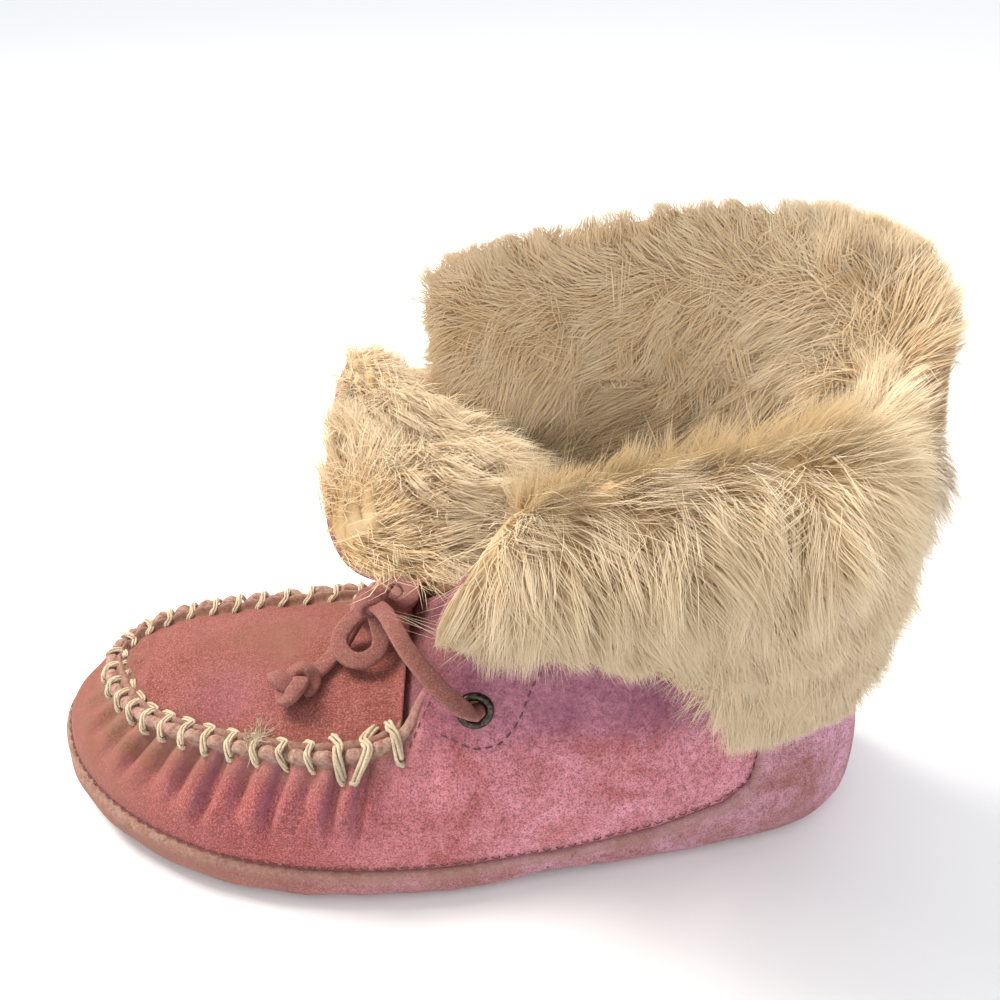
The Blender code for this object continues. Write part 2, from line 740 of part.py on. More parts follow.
def build_eyelet(side):
    """A ring with a barrel through the quarter's wall."""
    centre, axis = eyelet_frame(side)
    first, second = across_axes(axis)
    bore = EYELET_BORE / 2
    barrel = bore + EYELET_BARREL
    flange = EYELET_OUTER / 2
    depth = -(SUEDE + GAP)
    top = EYELET_STANDOFF + EYELET_FLANGE
    middle = EYELET_STANDOFF + EYELET_FLANGE / 2
    profile = (
        (bore, depth), (bore, top), (flange * 0.85, top), (flange, middle),
        (flange, EYELET_STANDOFF), (barrel, EYELET_STANDOFF), (barrel, depth),
    )
    loops = []
    for index in range(EYELET_SEGMENTS):
        angle = 2 * math.pi * index / EYELET_SEGMENTS
        spoke = first * math.cos(angle) + second * math.sin(angle)
        loops.append([centre + spoke * radius + axis * height for radius, height in profile])
    return ring_solid(loops)


def cut_eyelet_hole(upper, side):
    centre, axis = eyelet_frame(side)
    radius = EYELET_BORE / 2 + EYELET_BARREL + EYELET_HOLE_CLEARANCE
    bpy.ops.mesh.primitive_cylinder_add(vertices=EYELET_SEGMENTS, radius=radius, depth=8 * SUEDE)
    cutter = bpy.context.object
    cutter.name = "eyelet_cutter_" + side
    cutter.location = centre
    cutter.rotation_euler = Vector(axis).to_track_quat("Z", "Y").to_euler()
    cutter.hide_render = True
    cutter.display_type = "WIRE"
    cut = upper.modifiers.new("eyelet_hole_" + side, "BOOLEAN")
    cut.operation = "DIFFERENCE"
    cut.object = cutter


def add_lace(name, points, material):
    """A round lace along a smooth route; points are metres."""
    spans = len(points) - 1
    count = spans * LACE_POINTS_PER_SPAN + 1
    curve = bpy.data.curves.new(name, "CURVE")
    curve.dimensions = "3D"
    curve.bevel_depth = LACE_DIAMETER / 2
    curve.bevel_resolution = 2
    curve.render_resolution_u = 0
    curve.use_fill_caps = True
    spline = curve.splines.new("POLY")
    spline.points.add(count - 1)
    for index in range(count):
        place = through_points(points, index * spans / (count - 1))
        spline.points[index].co = (*place, 1.0)
    curve.materials.append(material)
    item = bpy.data.objects.new(name, curve)
    bpy.context.scene.collection.objects.link(item)
    return item


def build_knot(place, radii):
    knot = bmesh.new()
    bmesh.ops.create_icosphere(knot, subdivisions=2, radius=1.0)
    for corner in knot.verts:
        corner.co = [(value * radius + centre) * MM for value, radius, centre in zip(corner.co, radii, place)]
    return knot


def lace_route(side):
    centre, axis = eyelet_frame(side)
    start = [centre - axis * GAP, centre + axis * LACE_START_HEIGHT]
    return start + [np.array(point) * MM for point in LACE_BARS[side]]


def main():
    clear_scene()
    pink = soft_material("pink_suede", (0.62, 0.27, 0.29))
    sole = soft_material("sole_suede", (0.50, 0.24, 0.24))
    pile = soft_material("cream_pile", (0.80, 0.72, 0.58))
    lace = soft_material("lace_suede", (0.55, 0.22, 0.23))
    new_object("outsole", build_outsole(), sole)
    new_object("insole", build_insole(), pile)
    upper = new_object("upper", build_upper(), pink)
    new_object("apron", build_apron(), pink)
    new_object("tongue", build_tongue(), pink)
    new_object("fur_tongue", build_tongue_pile(), pile)
    new_object("shaft", build_shaft(), pink)
    new_object("fur_cuff", build_cuff_pile(), pile)
    gunmetal = soft_material("gunmetal", (0.20, 0.18, 0.17), roughness=0.35, metallic=1.0)
    for side in EYELET_ROWS:
        cut_eyelet_hole(upper, side)
        new_object("eyelet_" + side, build_eyelet(side), gunmetal)
        add_lace("lace_bar_" + side, lace_route(side), lace)
    for name, route in LACE_CORDS.items():
        add_lace(name, [np.array(point) * MM for point in route], lace)
    new_object("lace_knot", build_knot(BOW_PLACE, BOW_RADII), lace)
    new_object("lace_tip", build_knot(TIP_KNOT_PLACE, TIP_KNOT_RADII), lace)


main()
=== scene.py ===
import math

import bmesh
import bpy
import numpy as np
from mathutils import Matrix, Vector


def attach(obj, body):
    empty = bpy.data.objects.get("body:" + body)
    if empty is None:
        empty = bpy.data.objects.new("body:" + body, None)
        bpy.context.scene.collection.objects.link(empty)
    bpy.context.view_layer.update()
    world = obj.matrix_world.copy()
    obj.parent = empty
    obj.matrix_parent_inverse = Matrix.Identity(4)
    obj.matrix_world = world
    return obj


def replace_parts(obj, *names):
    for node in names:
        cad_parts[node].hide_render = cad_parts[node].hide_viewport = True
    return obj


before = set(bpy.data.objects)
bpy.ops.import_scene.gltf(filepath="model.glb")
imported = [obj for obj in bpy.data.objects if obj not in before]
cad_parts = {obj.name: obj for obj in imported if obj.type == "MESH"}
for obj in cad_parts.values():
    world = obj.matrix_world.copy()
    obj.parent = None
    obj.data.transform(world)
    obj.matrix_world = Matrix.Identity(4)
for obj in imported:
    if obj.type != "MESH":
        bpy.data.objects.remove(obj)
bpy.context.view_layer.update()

MM = 0.001
UP = np.array((0.0, 0.0, 1.0))

# The photograph's camera: a phone's main camera, above the boot's outer side
CAMERA_PLACE = (0.0135, -0.207, 0.223)
CAMERA_TILT = 57.5
LENS = 36.0

# The studio: name, place, size, power and colour of each light
LIGHTS = (
    ("key", (-0.50, 0.25, 0.80), 0.40, 10.5, (1.0, 0.93, 0.84)),
    ("fill", (0.5, -0.8, 0.6), 0.9, 0.4, (0.93, 0.95, 1.0)),
)
LIGHT_TARGET = (0, 0, 0.05)
SKY_COLOUR = (0.95, 0.97, 1.0, 1.0)
FLOOR_COLOUR = (0.95, 0.95, 0.95, 1.0)
FLOOR_SIZE = 6.0

# Sizes that this scene shares with the part
SOLE_LENGTH = 223 * MM
BALL_WIDTH = 88 * MM
ANKLE_HEIGHT = 60 * MM
COLLAR_DEPTH = 100 * MM
TOE_SPRING = 5 * MM
ARCH_RISE = 1.6 * MM
SUEDE = 2.0 * MM
SOLE_SIDE = 1.8 * MM
SOLE_BOTTOM = 2.5 * MM
SOLE_ROUND = 8.5 * MM
SOLE_TUCK = 4.5 * MM
GAP = 0.3 * MM
RIDGE_HEIGHT = 3.4 * MM
EDGE_HEIGHT = 0.6 * MM
APRON_CROWN = 6.0 * MM
APRON_TIP_RADIUS = 16 * MM
APRON_FULL_WIDTH = 24.6 * MM
CUFF_PILE = 12 * MM
TONGUE_PILE = 12 * MM
HEEL_X = SOLE_LENGTH / 2
LOW_SHARE = 0.2

# Finish of the seams, in this scene alone
PUCKER_DEPTH = 3.4 * MM
PUCKERS_PER_ROW = 2
PUCKER_FIRST = 10.2
PUCKER_SLANT = 0.25
PUCKER_STRENGTHS = np.array((1.0, 0.25, 1.0, 0.50, 0.95, 0.60, 0.40, 0.55, 0.30, 0.20, 0.0))
WHIP_PITCH = 7.4 * MM
YARN_PLY = 0.42 * MM
LONG_STITCHES = 3
THREAD = 0.22 * MM
LACE_WIDTH = 4.6 * MM
LACE_THICKNESS = 1.9 * MM
EYELET_OUTER = 9.4 * MM
EYELET_BORE = 5.0 * MM
LACE_ROOT_SHARE = 0.15
KNOT_SIDES = 14
# Dirt, painted cool shade and wear of the two lace knots
KNOT_PAINT = (0.3, 0.2, 0.1)
TIP_PAINT = (0.35, 0.15, 0.1)
TIP_RADIUS = 1.2 * MM
TIP_FLATNESS = 1.75
DENT_DEPTH = 1.1 * MM
DENT_X = -62 * MM
DENT_Y = -4 * MM
DENT_LENGTH = 10 * MM
DENT_WIDTH = 15 * MM

# along, side, top_along, top_side, top_height: the part's own sections round the foot from the heel
SECTION_ROWS = (
    (0.000, 0.034, 0.047, 0.023, 1.000),
    (0.018, -0.136, 0.063, -0.097, 1.000),
    (0.056, -0.239, 0.096, -0.182, 1.000),
    (0.105, -0.301, 0.141, -0.227, 1.000),
    (0.168, -0.341, 0.204, -0.261, 1.000),
    (0.276, -0.403, 0.294, -0.290, 1.000),
    (0.392, -0.460, 0.392, -0.295, 1.017),
    (0.473, -0.500, 0.478, -0.301, 1.033),
    (0.513, -0.515, 0.518, -0.320, 0.900),
    (0.554, -0.523, 0.545, -0.357, 0.680),
    (0.612, -0.526, 0.599, -0.411, 0.635),
    (0.679, -0.517, 0.661, -0.407, 0.625),
    (0.760, -0.477, 0.733, -0.350, 0.592),
    (0.841, -0.392, 0.800, -0.275, 0.553),
    (0.913, -0.267, 0.863, -0.176, 0.510),
    (0.971, -0.097, 0.917, -0.031, 0.470),
    (1.000, 0.102, 0.946, 0.136, 0.452),
    (0.984, 0.261, 0.935, 0.250, 0.460),
    (0.944, 0.375, 0.899, 0.330, 0.483),
    (0.877, 0.449, 0.841, 0.358, 0.525),
    (0.787, 0.477, 0.769, 0.358, 0.575),
    (0.688, 0.472, 0.684, 0.352, 0.625),
    (0.608, 0.449, 0.608, 0.352, 0.650),
    (0.549, 0.426, 0.549, 0.335, 0.690),
    (0.509, 0.412, 0.518, 0.312, 0.905),
    (0.469, 0.400, 0.478, 0.295, 1.033),
    (0.388, 0.381, 0.392, 0.290, 1.017),
    (0.276, 0.369, 0.294, 0.284, 1.000),
    (0.168, 0.381, 0.204, 0.267, 1.000),
    (0.105, 0.352, 0.141, 0.239, 1.000),
    (0.056, 0.278, 0.096, 0.188, 1.000),
    (0.018, 0.170, 0.063, 0.114, 1.000),
)
ROW_COUNT = len(SECTION_ROWS)
TOE_ROW = ROW_COUNT // 2
THROAT_ROW = 7
APRON_ROW = 9
PUCKER_ROWS = (10, 15)
RIM_ALONG = (0.00, 0.10, 0.13, 0.15, 0.18, 0.26, 0.37, 0.60, 0.77, 1.00)
RIM_HEIGHT = (0.84, 0.78, 0.60, 0.38, 0.29, 0.21, 0.165, 0.170, 0.190, 0.225)

# share, rise, lean, turn, radius, flap, sweep_rise, sweep_flap, pile: the part's own collar sections
COLLAR_ROWS = np.array((
    (0.00, 0.34, 2, 176, 0.070, 0.145, 0.15, -0.22, 0.10),
    (0.08, 0.38, 2, 177, 0.070, 0.20, 0.08, -0.10, 0.15),
    (0.16, 0.41, 2, 177, 0.070, 0.28, 0.03, -0.04, 0.80),
    (0.26, 0.43, 2, 177, 0.066, 0.52, 0.00, -0.07, 1.00),
    (0.36, 0.42, 2, 177, 0.054, 0.54, -0.01, -0.05, 0.90),
    (0.43, 0.38, 4, 174, 0.040, 0.40, -0.05, -0.05, 0.55),
    (0.50, 0.37, 6, 165, 0.036, 0.18, -0.06, -0.03, 0.45),
    (0.55, 0.42, 12, 85, 0.060, 0.16, 0.02, 0.00, 0.50),
    (0.60, 0.47, 16, 50, 0.100, 0.34, 0.05, 0.02, 0.60),
    (0.70, 0.50, 12, 22, 0.120, 0.38, 0.02, 0.02, 1.00),
    (0.82, 0.50, 11, 12, 0.120, 0.40, 0.00, 0.00, 1.00),
    (0.92, 0.48, 10, 11, 0.120, 0.34, -0.02, -0.03, 0.30),
    (1.00, 0.44, 10, 10, 0.120, 0.28, -0.05, -0.05, 0.12),
))
COLLAR_SMOOTHING = 0.025
COLLAR_STATIONS = 180
RISE_STEPS = 12
ARC_STEPS = 16
FLAP_STEPS = 8
PILE_PLACES = (0.0, 0.12, 0.30, 0.55, 0.75, 0.90, 1.0)
PILE_SHARES = (0.40, 0.80, 1.0, 1.0, 0.80, 0.60, 0.35)

# along, height, lateral, medial, tilt, pile: the part's own rows of the tongue
TONGUE_ROWS = np.array((
    (0.5468, 0.743, 0.300, 0.288, 0.00, 0.00),
    (0.5090, 0.825, 0.272, 0.268, 0.00, 0.00),
    (0.4690, 0.933, 0.250, 0.250, 0.00, 0.00),
    (0.4340, 1.067, 0.232, 0.232, 0.00, 0.15),
    (0.4130, 1.233, 0.222, 0.226, 0.02, 0.35),
    (0.4170, 1.383, 0.222, 0.238, 0.05, 0.75),
    (0.4460, 1.483, 0.256, 0.256, 0.10, 0.95),
    (0.4910, 1.545, 0.295, 0.300, 0.18, 1.00),
    (0.5450, 1.590, 0.312, 0.395, 0.28, 1.00),
    (0.5900, 1.625, 0.275, 0.425, 0.34, 0.90),
    (0.6180, 1.655, 0.170, 0.400, 0.38, 0.70),
    (0.6280, 1.680, 0.020, 0.310, 0.38, 0.45),
))
TONGUE_ARCH = 5.0 * MM
LOBE_DROOP = 1.5 * MM

# The lace's routes in millimetres, as in the part
EYELET_ROWS = {"lateral": 6.85, "medial": 25.15}
EYELET_LEVEL = 0.83
BOW_PLACE = (-20.5, 2, 57.5)
LACE_BARS = {
    "lateral": ((3.5, -35.5, 57), (-3, -31, 61), (-9, -23, 63), (-13, -14, 62.5), (-16.7, -4.4, 59.8)),
    "medial": ((3.5, 34.5, 57), (-3, 30, 61), (-9, 23, 62.5), (-13.5, 15, 62), (-16.9, 8.0, 59.8)),
}
LACE_CORDS = {
    "lace_loop_near": (
        (-25.8, -0.6, 53.8), (-28.2, -3.2, 51.8), (-28.6, -6.6, 50.0), (-26.0, -9.8, 48.6),
        (-22.0, -10.6, 48.4), (-18.6, -8.4, 49.4), (-17.6, -5.4, 51.4), (-18.4, -3.0, 53.2),
    ),
    "lace_loop_far": (
        (-17.6, 7.8, 54.4), (-16.4, 11.5, 52.4), (-16.2, 16.0, 49.4), (-18.6, 20.4, 46.6),
        (-22.6, 21.4, 45.2), (-25.8, 18.2, 45.4), (-26.4, 13.6, 46.8), (-25.2, 9.8, 49.8),
        (-24.0, 8.0, 52.0),
    ),
    "lace_end_near": (
        (-24.8, 2.4, 51.8), (-27.2, 0.8, 48.4), (-29.6, -3.8, 46.2), (-32.0, -8.2, 45.8),
        (-34.4, -11.6, 45.5), (-36.0, -13.4, 45.4),
    ),
    "lace_end_far": (
        (-15.0, 5.2, 53.4), (-12.6, 10.4, 50.8), (-11.4, 16.5, 48.6), (-12.2, 22.5, 46.8),
        (-14.6, 28.0, 45.8), (-18.0, 32.5, 45.6),
    ),
}
TIP_KNOT_PLACE = (-39.3, -16.7, 46.5)
# lean, radius and shift of each coil of the bow's knot
KNOT_COILS = ((0.15, 3.1, -1.3), (-0.35, 3.3, 1.6), (1.2, 2.7, 0.2))

# Counts of points in each direction of the grids
WALL_ROWS = 16
WALL_COLUMNS = 44
INNER_COLUMNS = 12
RIDGE_COLUMNS = 7
APRON_ROWS = 110
APRON_COLUMNS = 26
SOLE_ROWS = 14
SOLE_COLUMNS = 18
TREAD_COLUMNS = 15
EYELET_SPOKES = 56
RIBBON_SIDES = 16

# rise and depth in millimetres of the sole's turned edge at the seam
SOLE_EDGE = ((0.5, 1.3), (0.7, 0.6), (0.5, -0.4), (-1.5, -0.8))


# Numbers and curves, all of them for arrays
def unit(vectors):
    return vectors / np.maximum(np.linalg.norm(vectors, axis=-1, keepdims=True), 1e-12)


def ease(low, high, value):
    """A smooth step: 0 up to low, 1 from high on."""
    share = np.clip((value - low) / (high - low), 0.0, 1.0)
    return share * share * (3 - 2 * share)


def bell(distance):
    return np.exp(-(distance ** 2))


def catmull_rom(before, start, end, after, share):
    return 0.5 * (
        2 * start
        + (end - before) * share
        + (2 * before - 5 * start + 4 * end - after) * share ** 2
        + (3 * start - before - 3 * end + after) * share ** 3
    )


def through_points(points, places):
    """A smooth open curve through points, at places that count them."""
    points = np.asarray(points, float)
    places = np.asarray(places, float)
    last = len(points) - 1
    index = np.clip(places.astype(int), 0, last - 1)
    near = [points[np.clip(index + step, 0, last)] for step in (-1, 0, 1, 2)]
    return catmull_rom(*near, (places - index)[..., None])


def even_route(points, spacing):
    """Points at even spacing along a smooth route."""
    fine = through_points(points, np.linspace(0, len(points) - 1, 40 * len(points)))
    lengths = np.concatenate(([0.0], np.cumsum(np.linalg.norm(np.diff(fine, axis=0), axis=1))))
    count = max(int(round(lengths[-1] / spacing)), 2)
    targets = np.linspace(0, lengths[-1], count + 1)
    return np.column_stack([np.interp(targets, lengths, fine[:, axis]) for axis in range(3)])


# The shoemaker's last: the part's sections, in metres
TABLE = np.array(SECTION_ROWS)
SECTIONS = np.column_stack((
    HEEL_X - TABLE[:, 0] * SOLE_LENGTH,
    TABLE[:, 1] * BALL_WIDTH,
    HEEL_X - TABLE[:, 2] * SOLE_LENGTH,
    TABLE[:, 3] * BALL_WIDTH,
    TABLE[:, 4] * ANKLE_HEIGHT,
))


def section(row):
    row = np.asarray(row, float)
    index = np.floor(row).astype(int)
    near = [SECTIONS[(index + step) % ROW_COUNT] for step in (-1, 0, 1, 2)]
    return catmull_rom(*near, (row - index)[..., None])


def sole_point(row):
    values = section(row)
    return np.stack((values[..., 0], values[..., 1], 0 * values[..., 0]), axis=-1)


def top_point(row):
    return section(row)[..., 2:5]


def inward(curve, row, step=0.02):
    along = curve(row + step) - curve(row - step)
    return unit(np.stack((along[..., 1], -along[..., 0], 0 * along[..., 0]), axis=-1))


def mirrored(row):
    row = np.asarray(row, float) % ROW_COUNT
    return np.minimum(row, ROW_COUNT - row)


def front_share(row):
    return ease(APRON_ROW - 1.2, APRON_ROW + 0.2, mirrored(row))


def along_sole(x):
    return (HEEL_X - x) / SOLE_LENGTH


def lift(x):
    toe = TOE_SPRING * np.clip((along_sole(x) - 0.78) / 0.22, 0.0, 1.0) ** 2
    arch = ease(0.27, 0.36, along_sole(x)) * (1 - ease(0.40, 0.47, along_sole(x)))
    return toe + ARCH_RISE * arch


def wall_point(row, level):
    """The upper's outer face; level runs from 0 under the foot to 1 at the upper edge."""
    row, level = np.broadcast_arrays(np.asarray(row, float), np.asarray(level, float))
    base = sole_point(row)
    top = top_point(row)
    angle = np.minimum(level / LOW_SHARE, 1.0) * math.pi / 2
    floor = SOLE_BOTTOM + GAP
    low = base + inward(sole_point, row) * (SOLE_TUCK * (1 - np.sin(angle)))[..., None]
    low = low + UP * (floor + SOLE_ROUND * (1 - np.cos(angle)))[..., None]
    share = np.clip((level - LOW_SHARE) / (1 - LOW_SHARE), 0.0, 1.0)[..., None]
    start = base + UP * (floor + SOLE_ROUND)
    height = (top - start)[..., 2:3]
    lean = np.radians(12 + 38 * front_share(row))[..., None]
    reach = 0.42 * np.linalg.norm(top - start, axis=-1, keepdims=True)
    tangent = UP * np.cos(lean) + unit((top - start) * (1, 1, 0)) * np.sin(lean)
    control_low = start + UP * 0.45 * height
    control_high = top - tangent * reach
    high = (
        start * (1 - share) ** 3
        + control_low * 3 * share * (1 - share) ** 2
        + control_high * 3 * share ** 2 * (1 - share)
        + top * share ** 3
    )
    point = np.where((level < LOW_SHARE)[..., None], low, high)
    rise = lift(point[..., 0]) * (1 - level) ** 2
    return point + UP * rise[..., None]


def wall_normal(row, level, step=0.01):
    row, level = np.broadcast_arrays(np.asarray(row, float), np.asarray(level, float))
    up = wall_point(row, np.minimum(level + step, 1.0)) - wall_point(row, np.maximum(level - step, 0.0))
    around = wall_point(row + step, level) - wall_point(row - step, level)
    return -unit(np.cross(around, up))


def off_wall(row, level, push):
    """A point that stands off the upper's outer face."""
    return wall_point(row, level) + wall_normal(row, level) * np.asarray(push)[..., None]


def pucker_place(row, level):
    """The nearest pucker's strength, and how many puckers away its trough is, positive towards the toe."""
    phase = PUCKERS_PER_ROW * (mirrored(row) - PUCKER_FIRST) - PUCKER_SLANT * (1 - level)
    number = np.round(phase)
    return PUCKER_STRENGTHS[np.clip(number, 0, len(PUCKER_STRENGTHS) - 1).astype(int)], phase - number


def pucker_window(row):
    first, last = PUCKER_ROWS
    place = mirrored(row)
    return ease(first - 0.9, first - 0.1, place) * (1 - ease(last - 0.2, last + 0.9, place))


def gather(row, level):
    """Puckers: narrow troughs between broad ridges, each with its own depth and reach down the wall."""
    strength, away = pucker_place(row, level)
    start = 0.30 + 0.25 * (1 - strength)
    fade = ease(start, start + 0.40, level) * (1 - 0.5 * ease(0.94, 1.0, level))
    trough = strength * bell(away / 0.15) * (1 + 0.25 * np.sin(19 * away))
    bulge = 0.20 * np.cos(math.pi * np.clip(away, -0.5, 0.5) * 2 + math.pi) + 0.08
    return PUCKER_DEPTH * pucker_window(row) * fade * (bulge - trough)


def slack(row, level):
    """Low waves that worn suede has all over."""
    row = np.asarray(row, float)
    wave = np.sin(2.3 * row + 5 * level) * np.cos(1.1 * row - 7 * level) + 0.6 * np.sin(5.1 * row - 9 * level)
    return 0.35 * MM * wave * ease(0.25, 0.5, level) * (1 - ease(0.9, 1.0, level))


# The apron seam: distance along it, and the rows of its whipstitches
SEAM_ROWS = np.linspace(APRON_ROW - 0.1, ROW_COUNT - APRON_ROW + 0.1, 600)
SEAM_STEPS = np.linalg.norm(np.diff(top_point(SEAM_ROWS), axis=0), axis=1)
SEAM_DISTANCE = np.concatenate(([0.0], np.cumsum(SEAM_STEPS)))
STITCH_COUNT = int(SEAM_DISTANCE[-1] / WHIP_PITCH)
STITCH_DISTANCE = (np.arange(STITCH_COUNT) + 0.5) * SEAM_DISTANCE[-1] / STITCH_COUNT
STITCH_ROWS = np.interp(STITCH_DISTANCE, SEAM_DISTANCE, SEAM_ROWS)


def pinch(row):
    """1 where a whipstitch pulls the seam together, 0 halfway between two."""
    distance = np.interp(row, SEAM_ROWS, SEAM_DISTANCE)
    nearest = np.min(np.abs(np.asarray(distance)[..., None] - STITCH_DISTANCE), axis=-1)
    return bell(nearest / (1.5 * MM)) * front_share(row)


def ridge_height(row):
    return EDGE_HEIGHT + (RIDGE_HEIGHT - EDGE_HEIGHT) * front_share(row)


# Meshes
def new_piece(name, vertices, faces, material, paint=None, normals=None):
    mesh = bpy.data.meshes.new(name)
    vertices = np.asarray(vertices, np.float32).reshape(-1, 3)
    mesh.vertices.add(len(vertices))
    mesh.vertices.foreach_set("co", vertices.ravel())
    sizes = np.concatenate([np.full(len(block), block.shape[1]) for block in faces])
    corners = np.concatenate([block.ravel() for block in faces]).astype(np.int32)
    mesh.loops.add(len(corners))
    mesh.loops.foreach_set("vertex_index", corners)
    mesh.polygons.add(len(sizes))
    mesh.polygons.foreach_set("loop_start", np.concatenate(([0], np.cumsum(sizes)[:-1])).astype(np.int32))
    mesh.update(calc_edges=True)
    if paint is not None:
        colours = mesh.color_attributes.new("paint", "FLOAT_COLOR", "POINT")
        colours.data.foreach_set("color", np.asarray(paint, np.float32).ravel())
    mesh.validate()
    mesh.materials.append(material)
    item = bpy.data.objects.new(name, mesh)
    bpy.context.scene.collection.objects.link(item)
    mesh.shade_smooth()
    if normals is not None:
        mesh.normals_split_custom_set_from_vertices(normals)
    return item


def place_piece(item, slot, *nodes):
    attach(item, "root")
    if nodes:
        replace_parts(item, *nodes)
    return item


def grid_faces(rows, columns, start=0, wrap_rows=False, wrap_columns=False, flip=False):
    down = np.arange(rows if wrap_rows else rows - 1)[:, None]
    across = np.arange(columns if wrap_columns else columns - 1)[None, :]
    after = (down + 1) % rows
    beside = (across + 1) % columns
    faces = np.stack((
        down * columns + across, down * columns + beside, after * columns + beside, after * columns + across,
    ), axis=-1).reshape(-1, 4) + start
    return faces[:, ::-1] if flip else faces


def weld(item, distance=0.00002):
    solid = bmesh.new()
    solid.from_mesh(item.data)
    bmesh.ops.remove_doubles(solid, verts=solid.verts, dist=distance)
    bmesh.ops.dissolve_degenerate(solid, edges=solid.edges, dist=distance / 4)
    bmesh.ops.recalc_face_normals(solid, faces=solid.faces)
    solid.to_mesh(item.data)
    solid.free()
    return item


def paint_of(shape, dirt=0.0, painted_shade=0.0, wear=0.0):
    """Vertex paint that a material reads: dirt, a painted cool shade, and wear with painted highlight."""
    channels = [np.broadcast_to(np.asarray(channel, float), shape) for channel in (dirt, painted_shade, wear)]
    return np.stack((*channels, np.ones(shape)), axis=-1).reshape(-1, 4)


def shell(name, front, back, material, paint):
    """A closed sheet between two grids of the same size; paint is for one grid and serves both."""
    rows, columns = front.shape[:2]
    count = rows * columns
    ring = np.concatenate((
        np.arange(columns - 1),
        np.arange(rows - 1) * columns + columns - 1,
        (rows - 1) * columns + np.arange(columns - 1, 0, -1),
        np.arange(rows - 1, 0, -1) * columns,
    ))
    after = np.roll(ring, -1)
    rim = np.stack((ring, ring + count, after + count, after), axis=-1)
    faces = [grid_faces(rows, columns), grid_faces(rows, columns, count, flip=True), rim]
    vertices = np.concatenate((front.reshape(-1, 3), back.reshape(-1, 3)))
    return weld(new_piece(name, vertices, faces, material, np.concatenate((paint, paint))))


def tube(points, radius, sides, guide=UP, width=1.0):
    """Vertices and faces of a closed tube; width stretches its section across the guide direction."""
    points = np.asarray(points, float)
    ahead = unit(np.gradient(points, axis=0))
    across = unit(np.cross(ahead, np.broadcast_to(guide, points.shape)) + 1e-9)
    over = np.cross(across, ahead)
    radius = np.broadcast_to(np.asarray(radius, float), len(points))[:, None, None]
    angles = np.linspace(0, 2 * math.pi, sides, endpoint=False)
    flatness = 1.0 if width == 1.0 else 0.55
    cosine = np.sign(np.cos(angles)) * np.abs(np.cos(angles)) ** flatness
    sine = np.sign(np.sin(angles)) * np.abs(np.sin(angles)) ** flatness
    ring = across[:, None] * cosine[None, :, None] * width + over[:, None] * sine[None, :, None]
    vertices = (points[:, None] + ring * radius).reshape(-1, 3)
    last = (len(points) - 1) * sides
    ends = [np.arange(sides)[None, ::-1], last + np.arange(sides)[None]]
    return vertices, [grid_faces(len(points), sides, wrap_columns=True), *ends]


def join_parts(parts):
    """One list of vertices and of faces from many."""
    vertices = []
    faces = {}
    start = 0
    for points, blocks in parts:
        vertices.append(points)
        for block in blocks:
            faces.setdefault(block.shape[1], []).append(block + start)
        start += len(points)
    return np.concatenate(vertices), [np.concatenate(blocks) for blocks in faces.values()]


def place_parts(name, parts, material, slot, *nodes, paint=None):
    vertices, faces = join_parts(parts)
    if paint is not None:
        paint = paint_of((len(vertices),), *paint)
    return place_piece(new_piece(name, vertices, faces, material, paint), slot, *nodes)


# Materials
def add_node(tree, kind, inputs=None, **settings):
    node = tree.nodes.new(kind)
    for key, value in settings.items():
        setattr(node, key, value)
    for key, value in (inputs or {}).items():
        if isinstance(value, bpy.types.NodeSocket):
            tree.links.new(value, node.inputs[key])
        else:
            node.inputs[key].default_value = value
    return node


def mix(tree, factor, first, second):
    node = add_node(tree, "ShaderNodeMix", data_type="RGBA")
    for index, value in ((0, factor), (6, first), (7, second)):
        if isinstance(value, bpy.types.NodeSocket):
            tree.links.new(value, node.inputs[index])
        else:
            node.inputs[index].default_value = value if index == 0 else (*value[:3], 1.0)
    return node.outputs[2]


def noise(tree, coordinates, size, detail, roughness, distortion=0.0):
    """Noise whose features are about that many metres wide, from 0 to 1 around one half."""
    inputs = {"Vector": coordinates, "Scale": 1.0 / size, "Detail": detail, "Roughness": roughness}
    inputs["Distortion"] = distortion
    return add_node(tree, "ShaderNodeTexNoise", inputs).outputs["Fac"]


def ramp(tree, factor, low, high, bottom=0.0, top=1.0):
    inputs = {"Value": factor, "From Min": low, "From Max": high, "To Min": bottom, "To Max": top}
    return add_node(tree, "ShaderNodeMapRange", inputs).outputs["Result"]


def multiply(tree, first, second):
    return add_node(tree, "ShaderNodeMath", {0: first, 1: second}, operation="MULTIPLY").outputs[0]


def new_material(name):
    material = bpy.data.materials.new(name)
    material.use_nodes = True
    tree = material.node_tree
    shader = tree.nodes["Principled BSDF"]
    coordinates = add_node(tree, "ShaderNodeTexCoord").outputs["Object"]
    return material, tree, shader, coordinates


def read_paint(tree):
    """The red, green and blue channels of the vertex paint."""
    paint = add_node(tree, "ShaderNodeVertexColor", layer_name="paint").outputs["Color"]
    channels = add_node(tree, "ShaderNodeSeparateColor", {"Color": paint}).outputs
    return channels["Red"], channels["Green"], channels["Blue"]


def scaled(colour, factor):
    return [value * factor for value in colour]


def set_finish(tree, shader, colour, finish):
    tree.links.new(colour, shader.inputs["Base Color"])
    for key, value in finish.items():
        shader.inputs[key].default_value = value


def add_bump(tree, shader, height, strength, distance):
    bump = add_node(tree, "ShaderNodeBump", {"Height": height, "Strength": strength, "Distance": distance})
    tree.links.new(bump.outputs["Normal"], shader.inputs["Normal"])


